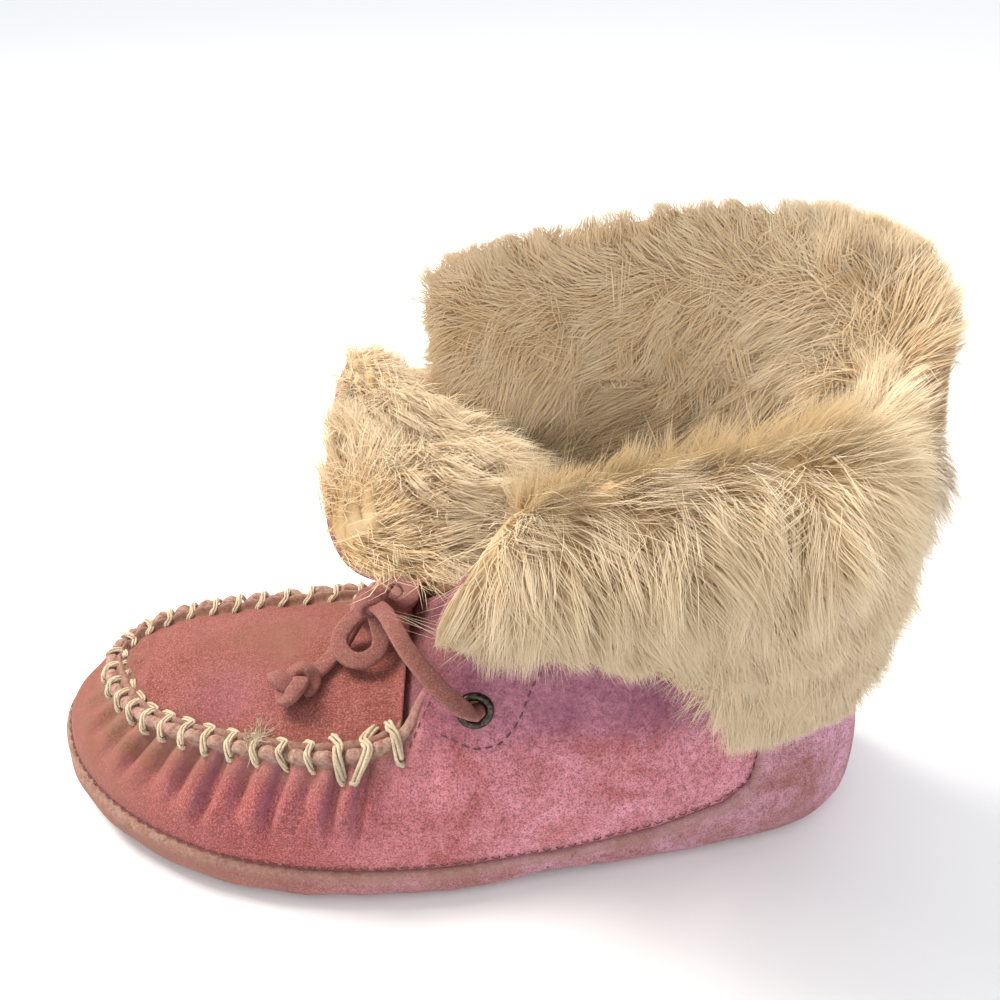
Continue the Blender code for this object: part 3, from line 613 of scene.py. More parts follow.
DIRT = (0.17, 0.085, 0.055)
DUST = (0.31, 0.13, 0.075)
# Colour of the painted cool shade, mixed in by the paint's green channel
PAINTED_SHADE_COLOUR = (0.33, 0.13, 0.22)
# Light colour of worn nap, and of painted highlight
WORN_AND_HIGHLIGHT = (0.60, 0.42, 0.33)
SUEDE_FINISH = {
    "Roughness": 0.95, "Specular IOR Level": 0.15,
    "Sheen Weight": 0.22, "Sheen Roughness": 0.45, "Sheen Tint": (0.95, 0.62, 0.60, 1.0),
}
PILE_FINISH = {
    "Roughness": 0.62, "Specular IOR Level": 0.25,
    "Sheen Weight": 0.25, "Sheen Roughness": 0.5, "Sheen Tint": (1.0, 0.93, 0.80, 1.0),
}
YARN_FINISH = {"Roughness": 0.9, "Sheen Weight": 0.3}


def suede(name, light, dark, soil=0.25, rear=None):
    """Napped suede: blotches, nap, grain and dark flecks, with dirt, painted cool shade, and wear with
    painted highlight from the paint.
    """
    material, tree, shader, coordinates = new_material(name)
    dirt, shade, wear = read_paint(tree)
    blotch = noise(tree, coordinates, 14 * MM, 5.0, 0.6, 0.6)
    nap = noise(tree, coordinates, 1.5 * MM, 6.0, 0.75)
    grain = noise(tree, coordinates, 0.48 * MM, 3.0, 0.80)
    colour = mix(tree, ramp(tree, blotch, 0.35, 0.68), light, dark)
    if rear:
        along = add_node(tree, "ShaderNodeSeparateXYZ", {"Vector": coordinates}).outputs["X"]
        rear_colour = mix(tree, ramp(tree, blotch, 0.38, 0.70), rear, light)
        colour = mix(tree, ramp(tree, along, -0.045, 0.030), colour, rear_colour)
    colour = mix(tree, ramp(tree, nap, 0.44, 0.62, 0.0, 0.50), colour, scaled(dark, 0.62))
    colour = mix(tree, ramp(tree, grain, 0.48, 0.60, 0.0, 0.72), colour, scaled(dark, 0.42))
    pale = [min(value * 1.35 + 0.06, 1.0) for value in light]
    colour = mix(tree, ramp(tree, grain, 0.48, 0.36, 0.0, 0.85), colour, pale)
    # Painted cool shade where the paint's green channel is high
    painted_shade = multiply(tree, shade, ramp(tree, blotch, 0.25, 0.6, 0.55, 1.0))
    colour = mix(tree, painted_shade, colour, mix(tree, ramp(tree, nap, 0.4, 0.62), PAINTED_SHADE_COLOUR, scaled(PAINTED_SHADE_COLOUR, 0.6)))
    smear = noise(tree, coordinates, 5 * MM, 6.0, 0.7, 0.8)
    soiled = multiply(tree, dirt, ramp(tree, smear, 0.32, 0.54, 0.30, 1.0))
    colour = mix(tree, soiled, colour, mix(tree, ramp(tree, grain, 0.42, 0.58), DIRT, DUST))
    spots = noise(tree, coordinates, 2.6 * MM, 2.0, 0.5)
    colour = mix(tree, ramp(tree, spots, 0.69, 0.74, 0.0, soil), colour, DIRT)
    # Worn nap, and painted highlight, where the paint's blue channel is high
    colour = mix(tree, multiply(tree, wear, ramp(tree, nap, 0.35, 0.6)), colour, WORN_AND_HIGHLIGHT)
    height = add_node(tree, "ShaderNodeMath", {0: grain, 1: 0.6, 2: nap}, operation="MULTIPLY_ADD").outputs[0]
    add_bump(tree, shader, height, 0.75, 0.6 * MM)
    set_finish(tree, shader, colour, SUEDE_FINISH)
    return material


def pile(name, root, middle, tip):
    """Long pile: painted shade towards the roots, cream lengths, pale tips, with each strand a little
    different, and painted highlight and painted shade from the paint.
    """
    material, tree, shader, coordinates = new_material(name)
    length, fairness_and_highlight, shadow = read_paint(tree)
    patch = noise(tree, coordinates, 16 * MM, 4.0, 0.6, 0.5)
    warm = [value * factor for value, factor in zip(middle, (0.93, 0.82, 0.64))]
    body = mix(tree, ramp(tree, patch, 0.38, 0.64), middle, warm)
    # Paler strands at random, and painted highlight on the cuff's crest
    body = mix(tree, ramp(tree, fairness_and_highlight, 0.0, 1.0, 0.0, 0.55), body, tip)
    # Painted shade: the root colour towards each strand's root, less of it on strands with painted highlight
    colour = mix(tree, ramp(tree, length, 0.0, 0.55), root, body)
    colour = mix(tree, ramp(tree, length, 0.55, 1.0, 0.0, 0.7), colour, tip)
    colour = mix(tree, shadow, colour, mix(tree, 0.85, colour, scaled(root, 0.7)))
    set_finish(tree, shader, colour, PILE_FINISH)
    return material


def yarn_material(name, light, dark):
    material, tree, shader, coordinates = new_material(name)
    fibre = noise(tree, coordinates, 0.5 * MM, 5.0, 0.75)
    grey = noise(tree, coordinates, 9 * MM, 3.0, 0.6)
    colour = mix(tree, ramp(tree, fibre, 0.35, 0.65), light, dark)
    colour = mix(tree, ramp(tree, grey, 0.50, 0.72, 0.0, 0.5), colour, scaled(dark, 0.45))
    add_bump(tree, shader, fibre, 0.5, 0.3 * MM)
    set_finish(tree, shader, colour, YARN_FINISH)
    return material


def metal_material():
    material, tree, shader, coordinates = new_material("gunmetal_worn")
    wear = noise(tree, coordinates, 1.2 * MM, 5.0, 0.7)
    colour = mix(tree, ramp(tree, wear, 0.42, 0.66), (0.045, 0.040, 0.036), (0.16, 0.13, 0.10))
    tree.links.new(ramp(tree, wear, 0.3, 0.7, 0.24, 0.46), shader.inputs["Roughness"])
    set_finish(tree, shader, colour, {"Metallic": 1.0})
    return material


# Suede pieces
def around_rows(per_row):
    return np.arange(0, ROW_COUNT, 1.0 / per_row)


def seam_dirt(row, level):
    """Soiling along the apron seam and over the toe."""
    near_top = ease(0.62, 1.0, level) * front_share(row)
    toe = ease(11.5, 15.0, mirrored(row))
    return np.clip(near_top * (0.30 + 0.70 * toe) + 0.80 * toe * ease(-0.4, 0.5, level), 0, 1)


def build_upper(material):
    rows = around_rows(WALL_ROWS)[:, None]
    outer_levels = np.linspace(0.0, 1.0, WALL_COLUMNS)[None, :]
    push = gather(rows, outer_levels) + slack(rows, outer_levels)
    outer = off_wall(rows, outer_levels, push)
    inner_levels = np.linspace(0.97, 0.0, INNER_COLUMNS)[None, :]
    inner = off_wall(rows, inner_levels, -SUEDE)
    squeeze = pinch(rows)
    front = front_share(rows)
    ragged = 0.25 * MM * np.sin(37 * rows) * np.sin(11.3 * rows) * front
    crest = ridge_height(rows) - 0.9 * MM * squeeze + ragged
    angles = np.linspace(0, math.pi, RIDGE_COLUMNS)[None, :]
    half = SUEDE / 2 * (1 + (0.75 - 0.45 * squeeze) * front)
    outward = -inward(top_point, rows)
    middle = outer[:, -1:] - outward * SUEDE / 2 + UP * np.maximum(crest - half, 0.1 * MM)[..., None]
    ridge = middle + outward * (np.cos(angles) * half)[..., None] + UP * (np.sin(angles) * half)[..., None]
    grid = np.concatenate((outer, ridge, inner), axis=1)
    levels = np.concatenate((outer_levels, np.ones((1, RIDGE_COLUMNS)), inner_levels), axis=1)
    on_ridge = np.zeros(levels.shape)
    on_ridge[:, WALL_COLUMNS - 1:WALL_COLUMNS + RIDGE_COLUMNS + 1] = 1.0
    dirt = np.clip(seam_dirt(rows, levels) + 0.95 * on_ridge * front, 0, 1)
    # Painted shade: the cuff flap's cast shadow on the quarter below it, and painted shade on the slope of
    # each pucker that faces away from the light
    quarter = ease(-15 * MM, 15 * MM, grid[..., 0]) * (grid[..., 1] < 0)
    flap_shadow = quarter * ease(0.60, 0.86, levels)
    strength, away = pucker_place(rows, levels)
    shaded_slopes = np.clip(strength + 0.1, 0, 1) * bell((away - 0.20) / 0.13) * pucker_window(rows)
    painted_shade = np.clip(0.8 * flap_shadow + 0.75 * shaded_slopes * ease(0.35, 0.75, levels), 0, 1)
    wear = (0.55 * on_ridge + 0.2 * ease(0.8, 1.0, levels)) * front
    paint = paint_of(grid.shape[:2], dirt, painted_shade, wear)
    faces = [grid_faces(*grid.shape[:2], wrap_rows=True, wrap_columns=True)]
    item = new_piece("upper_skin", grid, faces, material, paint)
    for side in EYELET_ROWS:
        cut_hole(item, side)
    return place_piece(item, "upper_suede", "upper")


def eyelet_frame(side):
    row = EYELET_ROWS[side]
    return wall_point(row, EYELET_LEVEL), wall_normal(row, EYELET_LEVEL)


def cut_hole(item, side):
    centre, axis = eyelet_frame(side)
    bpy.ops.mesh.primitive_cylinder_add(vertices=32, radius=EYELET_BORE / 2 + 0.3 * MM, depth=12 * MM)
    cutter = bpy.context.object
    cutter.location = centre
    cutter.rotation_euler = Vector(axis).to_track_quat("Z", "Y").to_euler()
    cut = item.modifiers.new("hole", "BOOLEAN")
    cut.operation = "DIFFERENCE"
    cut.object = cutter
    bpy.context.view_layer.update()
    cut_mesh = bpy.data.meshes.new_from_object(item.evaluated_get(bpy.context.evaluated_depsgraph_get()))
    item.modifiers.clear()
    item.data = cut_mesh
    bpy.data.objects.remove(cutter, do_unlink=True)


def apron_edge(row):
    return top_point(row) + inward(top_point, row) * (SUEDE + 0.1 * MM)


def apron_spines(rows):
    """Each row's middle and crown; the rows near the tip share one middle and fan out from it."""
    limit = top_point(TOE_ROW)[0] + APRON_TIP_RADIUS
    fine = np.linspace(APRON_ROW, TOE_ROW, 700)
    middles = (apron_edge(fine) + apron_edge(ROW_COUNT - fine)) / 2
    fan_row = fine[np.argmax(middles[:, 0] < limit)]
    held = np.minimum(rows, fan_row)
    edges = apron_edge(held), apron_edge(ROW_COUNT - held)
    half_width = np.linalg.norm(edges[1] - edges[0], axis=-1) / 2
    return (edges[0] + edges[1]) / 2, APRON_CROWN * np.minimum(1.0, half_width / APRON_FULL_WIDTH)


def apron_surface(place, offset, spine, crown):
    """A point of the apron's top: offset metres in from the seam, towards the spine."""
    edge = apron_edge(place)
    across = (spine - edge) * (1, 1, 0)
    width = np.linalg.norm(across, axis=-1)
    share = np.clip(offset / width, 0.0, 1.0)
    point = edge + unit(across) * offset[..., None]
    point[..., 2] = edge[..., 2] + (spine[..., 2] - edge[..., 2]) * share + crown * (1 - (1 - share) ** 2)
    return point, share


# x, y, radius in millimetres and strength of the apron's stains, and of its patch of painted cool shade
APRON_STAINS = ((-47, 7, 11, 0.55), (-43, -3, 5, 0.35), (-66, 12, 12, 0.30), (-30, 22, 9, 0.40))
APRON_PAINTED_SHADE = (-58, -13, 12, 0.30)
APRON_LIP = np.concatenate((np.linspace(0, 3.6, 13), [4.6, 6.0])) * MM


def patch(point, x, y, radius, strength):
    """A soft round patch of paint."""
    return strength * bell(np.hypot(point[..., 0] - x * MM, point[..., 1] - y * MM) / (radius * MM))


def build_apron(material):
    rows = np.linspace(APRON_ROW, TOE_ROW, APRON_ROWS)
    spine, crown = apron_spines(rows)
    lip_end = APRON_LIP[-1]
    shares = np.linspace(0, 1, APRON_COLUMNS)[1:]
    sides = []
    for place in (rows, ROW_COUNT - rows):
        width = np.linalg.norm((spine - apron_edge(place))[:, :2], axis=1)
        lip = np.tile(APRON_LIP, (len(rows), 1))
        offsets = np.concatenate((lip, lip_end + shares * (width[:, None] - lip_end)), axis=1)
        wide = np.tile(place[:, None], (1, offsets.shape[1]))
        point, share = apron_surface(wide, offsets, spine[:, None], crown[:, None])
        squeeze = pinch(wide)
        ragged = 0.25 * MM * np.sin(31 * wide + 1) * np.sin(13.7 * wide)
        ridge = (RIDGE_HEIGHT * 0.92 - 0.9 * MM * squeeze + ragged) * (1 - ease(1.7 * MM, 3.4 * MM, offsets))
        ridge = ridge - 0.8 * MM * (1 - ease(0.0, 0.8 * MM, offsets))
        fold = 0.9 * MM * np.sin(wide * 2 * math.pi * 0.7 + 1.2) * ease(2 * MM, 9 * MM, offsets)
        fold = fold * (1 - ease(0.35, 0.9, share)) * ease(11.0, 14.0, mirrored(wide))
        x, y = point[..., 0], point[..., 1]
        dent = -DENT_DEPTH * bell((x - DENT_X) / DENT_LENGTH) * bell((y - DENT_Y) / DENT_WIDTH)
        uneven = 0.25 * MM * np.sin(x * 310) * np.sin(y * 270 + 1)
        point[..., 2] += ridge + fold + dent + uneven
        back = point - UP * (SUEDE * 0.8 + np.maximum(ridge, 0)[..., None] * 0.3)
        soil = 0.95 * (1 - ease(1.5 * MM, 6 * MM, offsets)) + 0.35 * ease(14.2, 15.8, mirrored(wide))
        for stain in APRON_STAINS:
            soil = soil + patch(point, *stain)
        sides.append((point, back, np.clip(soil + 0.10, 0, 1)))
    front, back, dirt = [np.concatenate((one, other[:, -2::-1]), axis=1) for one, other in zip(*sides)]
    # Green channel: a patch of painted cool shade on the apron
    paint = paint_of(dirt.shape, dirt, patch(front, *APRON_PAINTED_SHADE), np.clip(dirt - 0.6, 0, 1))
    return place_piece(shell("apron_skin", front, back, material, paint), "apron_suede", "apron")


def rim_levels(rows):
    """The sole seam's level on the wall, row by row."""
    heights = ANKLE_HEIGHT * np.interp(along_sole(sole_point(rows)[:, 0]), RIM_ALONG, RIM_HEIGHT)
    levels = np.linspace(0, 1, 80)
    walls = wall_point(rows[:, None], levels[None, :])[..., 2]
    return np.array([np.interp(height, wall, levels) for height, wall in zip(heights, walls)])


def sole_face(rows, levels, extra=0.0):
    thickness = SOLE_BOTTOM + (SOLE_SIDE - SOLE_BOTTOM) * ease(0.0, LOW_SHARE, levels)
    return off_wall(rows, levels, GAP + thickness + extra)


def build_outsole(material):
    rows = around_rows(SOLE_ROWS)
    rims = rim_levels(rows)
    shares = np.linspace(0, 1, SOLE_COLUMNS)[None, :]
    levels = shares * rims[:, None]
    wide = np.tile(rows[:, None], (1, SOLE_COLUMNS))
    swell = 0.7 * MM * np.sin(math.pi * shares) ** 2 - 0.5 * MM * ease(0.86, 1.0, shares)
    swell = swell + 0.3 * MM * np.sin(3.7 * wide + 6 * shares) * np.sin(2.2 * wide) * ease(0.1, 0.5, shares)
    outside = sole_face(wide, levels, swell)
    outside[:, 0, 2] = lift(outside[:, 0, 0])
    turned = []
    for rise, depth in SOLE_EDGE:
        turned.append(off_wall(rows, rims + rise * MM / ANKLE_HEIGHT, depth * MM)[:, None])
    grid = np.concatenate((outside, *turned), axis=1)
    shares_all = np.concatenate((shares[0], np.ones(len(SOLE_EDGE))))[None, :]
    toe = ease(10.0, 14.5, mirrored(rows))[:, None]
    heel = 1 - 0.65 * ease(5.0, 1.5, mirrored(rows))[:, None]
    # Dirt over the toe and on the lower sole; the last term is painted shade in the crease at the seam
    soil = 0.25 + 0.60 * toe + 0.45 * (1 - ease(0.0, 0.45, shares_all)) + 0.35 * (shares_all > 0.9)
    # Wear over the toe; the first term is a painted highlight along the sole's rolled top edge
    wear = 0.35 * ease(0.80, 0.97, shares_all) + 0.15 * toe
    # A little painted cool shade all over the sole
    paint = paint_of(grid.shape[:2], heel * np.clip(soil, 0, 1), 0.10, wear)
    half = len(rows) // 2
    lateral = outside[: half + 1, 0]
    medial = np.concatenate((outside[:1, 0], outside[:half - 1:-1, 0]))
    across = np.linspace(0, 1, TREAD_COLUMNS)[None, :, None]
    bottom = lateral[:, None] * (1 - across) + medial[:, None] * across
    bottom[..., 2] = lift(bottom[..., 0])
    vertices = np.concatenate((grid.reshape(-1, 3), bottom.reshape(-1, 3)))
    tread_dirt = paint_of(bottom.shape[:2], 0.8, 0.0, 0.3)
    faces = [
        grid_faces(*grid.shape[:2], wrap_rows=True),
        grid_faces(*bottom.shape[:2], grid.shape[0] * grid.shape[1]),
    ]
    item = weld(new_piece("outsole_skin", vertices, faces, material, np.concatenate((paint, tread_dirt))))
    return place_piece(item, "sole_suede", "outsole")


# Collar and tongue sheets
def collar_values(share):
    """The columns of the collar's rows at a share of the way round, each an average over a short stretch."""
    reads = np.linspace(share - COLLAR_SMOOTHING, share + COLLAR_SMOOTHING, 9)
    return [np.mean(np.interp(reads, COLLAR_ROWS[:, 0], column)) for column in COLLAR_ROWS.T[1:]]


def collar_sheet():
    """Grids of the collar's suede face and of the directions to its pile side, and its pile column."""
    faces = []
    directions = []
    piles = []
    for share in np.linspace(0, 1, COLLAR_STATIONS + 1):
        rise, lean, turn, radius, flap, sweep_rise, sweep_flap, pile_share = collar_values(share)
        row = THROAT_ROW * (1 - 2 * share)
        outward = -inward(top_point, row)
        lean, turn = math.radians(lean), math.radians(turn)
        chord = 2 * radius * math.sin((turn - lean) / ARC_STEPS / 2)
        lengths = [rise / RISE_STEPS] * RISE_STEPS + [chord] * ARC_STEPS + [flap / FLAP_STEPS] * FLAP_STEPS
        bends = [0.0] * RISE_STEPS + [(turn - lean) / ARC_STEPS] * ARC_STEPS + [0.0] * FLAP_STEPS
        middles = lean + np.cumsum(bends) - np.array(bends) / 2
        headings = np.concatenate(([lean], lean + np.cumsum(bends)))
        ways = UP * np.cos(middles)[:, None] + outward * np.sin(middles)[:, None]
        steps = ways * np.array(lengths)[:, None]
        start = top_point(row) + UP * (ridge_height(row) + GAP)
        points = np.concatenate((start[None], start + np.cumsum(steps, axis=0) * COLLAR_DEPTH))
        index = np.arange(len(points))
        rise_share = np.minimum(index / RISE_STEPS, 1.0)
        flap_share = np.maximum(index - RISE_STEPS, 0) / (ARC_STEPS + FLAP_STEPS)
        points[:, 0] += (sweep_rise * rise_share + sweep_flap * ease(0, 1, flap_share)) * COLLAR_DEPTH
        faces.append(points)
        directions.append(UP * np.sin(headings)[:, None] - outward * np.cos(headings)[:, None])
        piles.append(pile_share)
    return np.array(faces), np.array(directions), np.array(piles)


def collar_pile(share, place, column):
    inside = 1 - ease(0.30, 0.52, place)
    depth = np.interp(place, PILE_PLACES, PILE_SHARES)
    room = column * inside + (1 - inside) * (0.35 + 0.65 * ease(0.0, 0.06, np.minimum(share, 1 - share)))
    return CUFF_PILE * depth * room


def tongue_sheet(down=90, across=44):
    """Grids of the tongue's lower suede face, the directions to its pile side, and its pile depth."""
    last = len(TONGUE_ROWS) - 1
    places = np.linspace(0, last, down)
    values = through_points(TONGUE_ROWS, places)
    after = through_points(TONGUE_ROWS, np.minimum(places + 0.1, last))
    slope = after - through_points(TONGUE_ROWS, np.maximum(places - 0.1, 0))
    run_x = -slope[:, 0] * SOLE_LENGTH
    run_z = slope[:, 1] * ANKLE_HEIGHT
    normal = unit(np.stack((run_z, 0 * run_z, -run_x), axis=-1))
    lobe = ease(4.0, 7.0, places)[:, None]
    side = np.linspace(-1, 1, across)[None, :]
    lateral, medial = values[:, 2:3] * BALL_WIDTH, values[:, 3:4] * BALL_WIDTH
    plain = side * np.where(side < 0, lateral, medial)
    centred = (medial - lateral) / 2 + side * (medial + lateral) / 2
    y = np.where(places[:, None] > last - 2, centred, plain)
    sag = TONGUE_ARCH * (1 - lobe) + LOBE_DROOP * lobe
    z = values[:, 1:2] * ANKLE_HEIGHT + values[:, 4:5] * y - sag * side ** 2
    x = np.broadcast_to(HEEL_X - values[:, 0:1] * SOLE_LENGTH, y.shape)
    points = np.stack((x, y, z), axis=-1)
    depth = TONGUE_PILE * np.maximum(values[:, 5:6], 0.02) * (1 - 0.7 * np.abs(side) ** 4)
    return points, np.broadcast_to(normal[:, None], points.shape), depth, places


def build_shaft(material, sheet):
    face, direction, _ = sheet
    shape = face.shape[:2]
    place = np.linspace(0, 1, shape[1])[None, :]
    edge = ease(0.94, 1.0, place) + 0 * face[..., 0]
    # Painted cool shade all over the collar's suede, with dirt and wear at its edge
    paint = paint_of(shape, 0.25 * edge, 0.35, 0.25 * edge)
    ripple = 0.4 * MM * np.sin(23 * np.linspace(0, 1, shape[0]))[:, None] * ease(0.3, 1.0, place)
    moved = face + direction * ripple[..., None]
    item = shell("shaft_skin", moved + direction * SUEDE, moved, material, paint)
    return place_piece(item, "collar_suede", "shaft")


def build_tongue(material, sheet):
    points, normal, _, _ = sheet
    tucked = points.copy()
    tucked[0] += np.array((-3.0, 0, -1.6)) * MM
    tucked[1] += np.array((-1.2, 0, -0.8)) * MM
    # Painted cool shade all over the tongue's suede, with a little dirt
    paint = paint_of(points.shape[:2], 0.2, 0.25, 0.0)
    item = shell("tongue_skin", tucked + normal * SUEDE, tucked, material, paint)
    return place_piece(item, "tongue_suede", "tongue")


# Pile
def sample(grid, u, v):
    """Read a grid at shares of its rows and columns, blending between its points."""
    rows, columns = grid.shape[:2]
    row = np.clip(u, 0, 1) * (rows - 1)
    column = np.clip(v, 0, 1) * (columns - 1)
    low_row = np.minimum(row.astype(int), rows - 2)
    low_column = np.minimum(column.astype(int), columns - 2)
    a, b = row - low_row, column - low_column
    if grid.ndim == 3:
        a, b = a[..., None], b[..., None]
    return (
        grid[low_row, low_column] * (1 - a) * (1 - b)
        + grid[low_row + 1, low_column] * a * (1 - b)
        + grid[low_row, low_column + 1] * (1 - a) * b
        + grid[low_row + 1, low_column + 1] * a * b
    )


def even_places(grid, count, random, window):
    """Random places spread evenly over a grid's area, within a window of its rows."""
    cross = np.cross(np.diff(grid, axis=0)[:, :-1], np.diff(grid, axis=1)[:-1])
    area = np.linalg.norm(cross, axis=-1)
    rows, columns = area.shape
    u = (np.arange(rows) + 0.5) / rows
    inside = (u >= window[0]) & (u <= window[1])
    chance = (area * inside[:, None]).ravel()
    cells = random.choice(len(chance), count, p=chance / chance.sum())
    jitter = random.random((2, count))
    return (cells // columns + jitter[0]) / rows, (cells % columns + jitter[1]) / columns


STRAND_PLACES = np.array((0.0, 0.36, 0.70, 1.0))
STRAND_WIDTHS = np.array((1.0, 0.92, 0.60))
STRAND_FACES = np.array(((0, 1, 3), (0, 3, 2), (2, 3, 5), (2, 5, 4), (4, 5, 6)))
STRAND_POINTS = 7


class Coat:
    """A pile's surface: grids of points, of directions away from it and of depth, how it is combed, and
    whether its strands get painted highlight and painted shade.
    """

    def __init__(self, points, directions, depth, comb, painted_light=False):
        self.painted_light = painted_light
        self.points = points
        self.directions = directions
        self.depth = depth
        self.comb = comb
        self.along_u = np.gradient(points, axis=0) * (points.shape[0] - 1)
        self.along_v = np.gradient(points, axis=1) * (points.shape[1] - 1)

    def read(self, u, v):
        return (
            sample(self.points, u, v), unit(sample(self.directions, u, v)), sample(self.depth, u, v),
            sample(self.along_u, u, v), sample(self.along_v, u, v),
        )


def room_ahead(share, along, toward):
    """How far a strand may lie along one axis of a sheet until it comes to the sheet's edge."""
    left = np.where(toward > 0, 1 - share, share)
    return left * np.linalg.norm(along, axis=1) / np.maximum(np.abs(toward), 0.05)


def strand_paths(coat, u, v, turn, length, wave, lean):
    """Four points of each strand: out of the surface, over along the combing, and down with its weight."""
    root, normal, depth, along_u, along_v = coat.read(u, v)
    comb_u, comb_v, reach, weight, overhang = coat.comb(u, v)
    flow = unit(along_u) * comb_u[:, None] + unit(along_v) * comb_v[:, None]
    size = np.linalg.norm(flow, axis=1)
    room = np.minimum(room_ahead(u, along_u, comb_u / size), room_ahead(v, along_v, comb_v / size))
    reach = np.minimum(reach * length, room + overhang)
    flow = unit(flow)
    side = np.cross(normal, flow)
    flow = flow * np.cos(turn)[:, None] + side * np.sin(turn)[:, None]
    side = np.cross(normal, flow)
    place = STRAND_PLACES[None, :, None]
    out = (depth * lean)[:, None, None] * (1 - (1 - place) ** 1.7) * normal[:, None]
    over = reach[:, None, None] * (0.35 * place + 0.65 * place ** 1.6) * flow[:, None]
    drop = -UP * (weight * length)[:, None, None] * place ** 2
    free = np.minimum(reach / (8 * MM), 1.0)[:, None, None]
    swing = side[:, None] * (free * wave[:, :1, None] * place * np.sin(wave[:, 1:2, None] + 5.5 * place))
    return root[:, None] + out + over + drop + swing, normal


def grow(
    name, coat, material, slot, clumps, strands, spread, width, seed,
    clumping=0.72, ruffle=0.3, window=(0, 1),
):
    """Pile as tapered strands that gather into locks; the order of the random draws is part of its look."""
    random = np.random.default_rng(seed)
    u, v = even_places(coat.points, clumps, random, window)
    centre_turn = random.normal(0, ruffle, clumps) + 0.55 * np.sin(19 * u + 6 * v) * np.cos(9 * v - 11 * u)
    centre_length = random.uniform(0.75, 1.25, clumps)
    centre_wave = np.column_stack((random.normal(0, 2.2 * MM, clumps), random.uniform(0, 6.3, clumps)))
    centre_lean = random.uniform(0.6, 1.1, clumps)
    centre_paths, _ = strand_paths(coat, u, v, centre_turn, centre_length, centre_wave, centre_lean)
    owner = np.repeat(np.arange(clumps), strands)
    total = len(owner)
    _, _, _, along_u, along_v = coat.read(u, v)
    scatter = random.normal(0, spread, (2, total))
    own_u = np.clip(u[owner] + scatter[0] / np.linalg.norm(along_u, axis=1)[owner], 0, 1)
    own_v = np.clip(v[owner] + scatter[1] / np.linalg.norm(along_v, axis=1)[owner], 0, 1)
    turn = centre_turn[owner] + random.normal(0, 0.16, total)
    length = centre_length[owner] * random.uniform(0.65, 1.08, total)
    own_wave = random.normal(0, 0.4 * MM, total), random.normal(0, 0.4, total)
    wave = centre_wave[owner] + np.column_stack(own_wave)
    lean = centre_lean[owner] * random.uniform(0.75, 1.1, total)
    paths, normal = strand_paths(coat, own_u, own_v, turn, length, wave, lean)
    pull = clumping * STRAND_PLACES[None, :, None] ** 1.3 * random.uniform(0.55, 1.0, total)[:, None, None]
    paths = paths * (1 - pull) + centre_paths[owner] * pull
    tangent = unit(np.gradient(paths, axis=1))
    guide = unit(normal + random.normal(0, 0.22, normal.shape))
    across = unit(np.cross(tangent, guide[:, None]))
    half = (width * random.uniform(0.7, 1.2, total))[:, None, None] * STRAND_WIDTHS[None, :, None] / 2
    beside = across[:, :3] * half
    pairs = np.stack((paths[:, :3] - beside, paths[:, :3] + beside), axis=2).reshape(total, -1, 3)
    vertices = np.concatenate((pairs, paths[:, 3:]), axis=1)
    soft = unit(0.6 * normal[:, None] + 0.4 * np.cross(across, tangent))
    normals = np.repeat(soft, 2, axis=1)[:, :STRAND_POINTS]
    paint = np.ones((total, STRAND_POINTS, 4))
    # Painted highlight: strands on the cuff's fold crest get a lighter colour all along and less root shade
    crest = 0.75 * bell((own_v - 0.45) / 0.19) * ease(0.60, 0.52, own_u)
    crest = crest[:, None] if coat.painted_light else 0.15
    paint[:, :, 0] = crest + (1 - crest) * np.repeat(STRAND_PLACES, 2)[:STRAND_POINTS]
    paint[:, :, 1] = np.clip(random.beta(1.6, 2.4, total)[:, None] + 0.7 * crest, 0, 1)
    # Painted shade on the cuff's lower flap and towards its first end, and in the hollow of the collar's
    # opening
    flap_shade = (0.22 * ease(0.58, 0.88, own_v) + 0.20 * ease(0.26, 0.08, own_u)) * (own_u < 0.5)
    hole = ease(0.44, 0.14, own_v) * ease(0.40, 0.52, own_u)
    paint[:, :, 2] = np.maximum(hole, flap_shade)[:, None] if coat.painted_light else 0.0
    faces = [(STRAND_FACES[None] + STRAND_POINTS * np.arange(total)[:, None, None]).reshape(-1, 3)]
    item = new_piece(name, vertices, faces, material, paint.reshape(-1, 4), normals.reshape(-1, 3))
    return place_piece(item, slot)


def base_coat(name, coat, share, material, slot, nodes=()):
    """A lumpy felt under the strands, part of the pile's depth thick, coloured mostly in the pile's painted
    root shade.
    """
    points, direction = coat.points, coat.directions
    rows, columns = points.shape[:2]
    u = np.linspace(0, 1, rows)[:, None]
    v = np.linspace(0, 1, columns)[None, :]
    lumps = 1 + 0.25 * np.sin(70 * u + 13 * v) * np.sin(31 * v - 22 * u)
    lumps = lumps + 0.15 * np.sin(151 * u) * np.sin(97 * v)
    front = points + direction * (coat.depth * share * lumps)[..., None]
    # Mostly root colour: painted shade of the pile's depths
    paint = paint_of((rows, columns), 0.32 + 0.1 * lumps, 0.2)
    return place_piece(shell(name, front, points - direction * 0.1 * MM, material, paint), slot, *nodes)


# Combing: how far a strand lies along the collar and towards the flap's edge, its reach and its weight
COMB_SHARES = (0.00, 0.15, 0.30, 0.42, 0.50, 0.57, 0.65, 0.80, 1.00)
COMB_INSIDE = (
    (0.2, 0.2, 0.3, 0.2, 0.3, 0.7, 0.6, 0.5, 0.5),
    (0.6, 0.8, 0.8, 0.9, 0.6, -0.4, -0.9, -0.9, -0.6),
)
COMB_FLAP = (
    (0.6, 0.6, 0.5, 0.2, -0.1, -0.3, 0.3, 0.5, 0.5),
    (0.7, 0.9, 0.9, 1.0, 1.0, 0.9, -0.5, -0.8, -0.6),
)
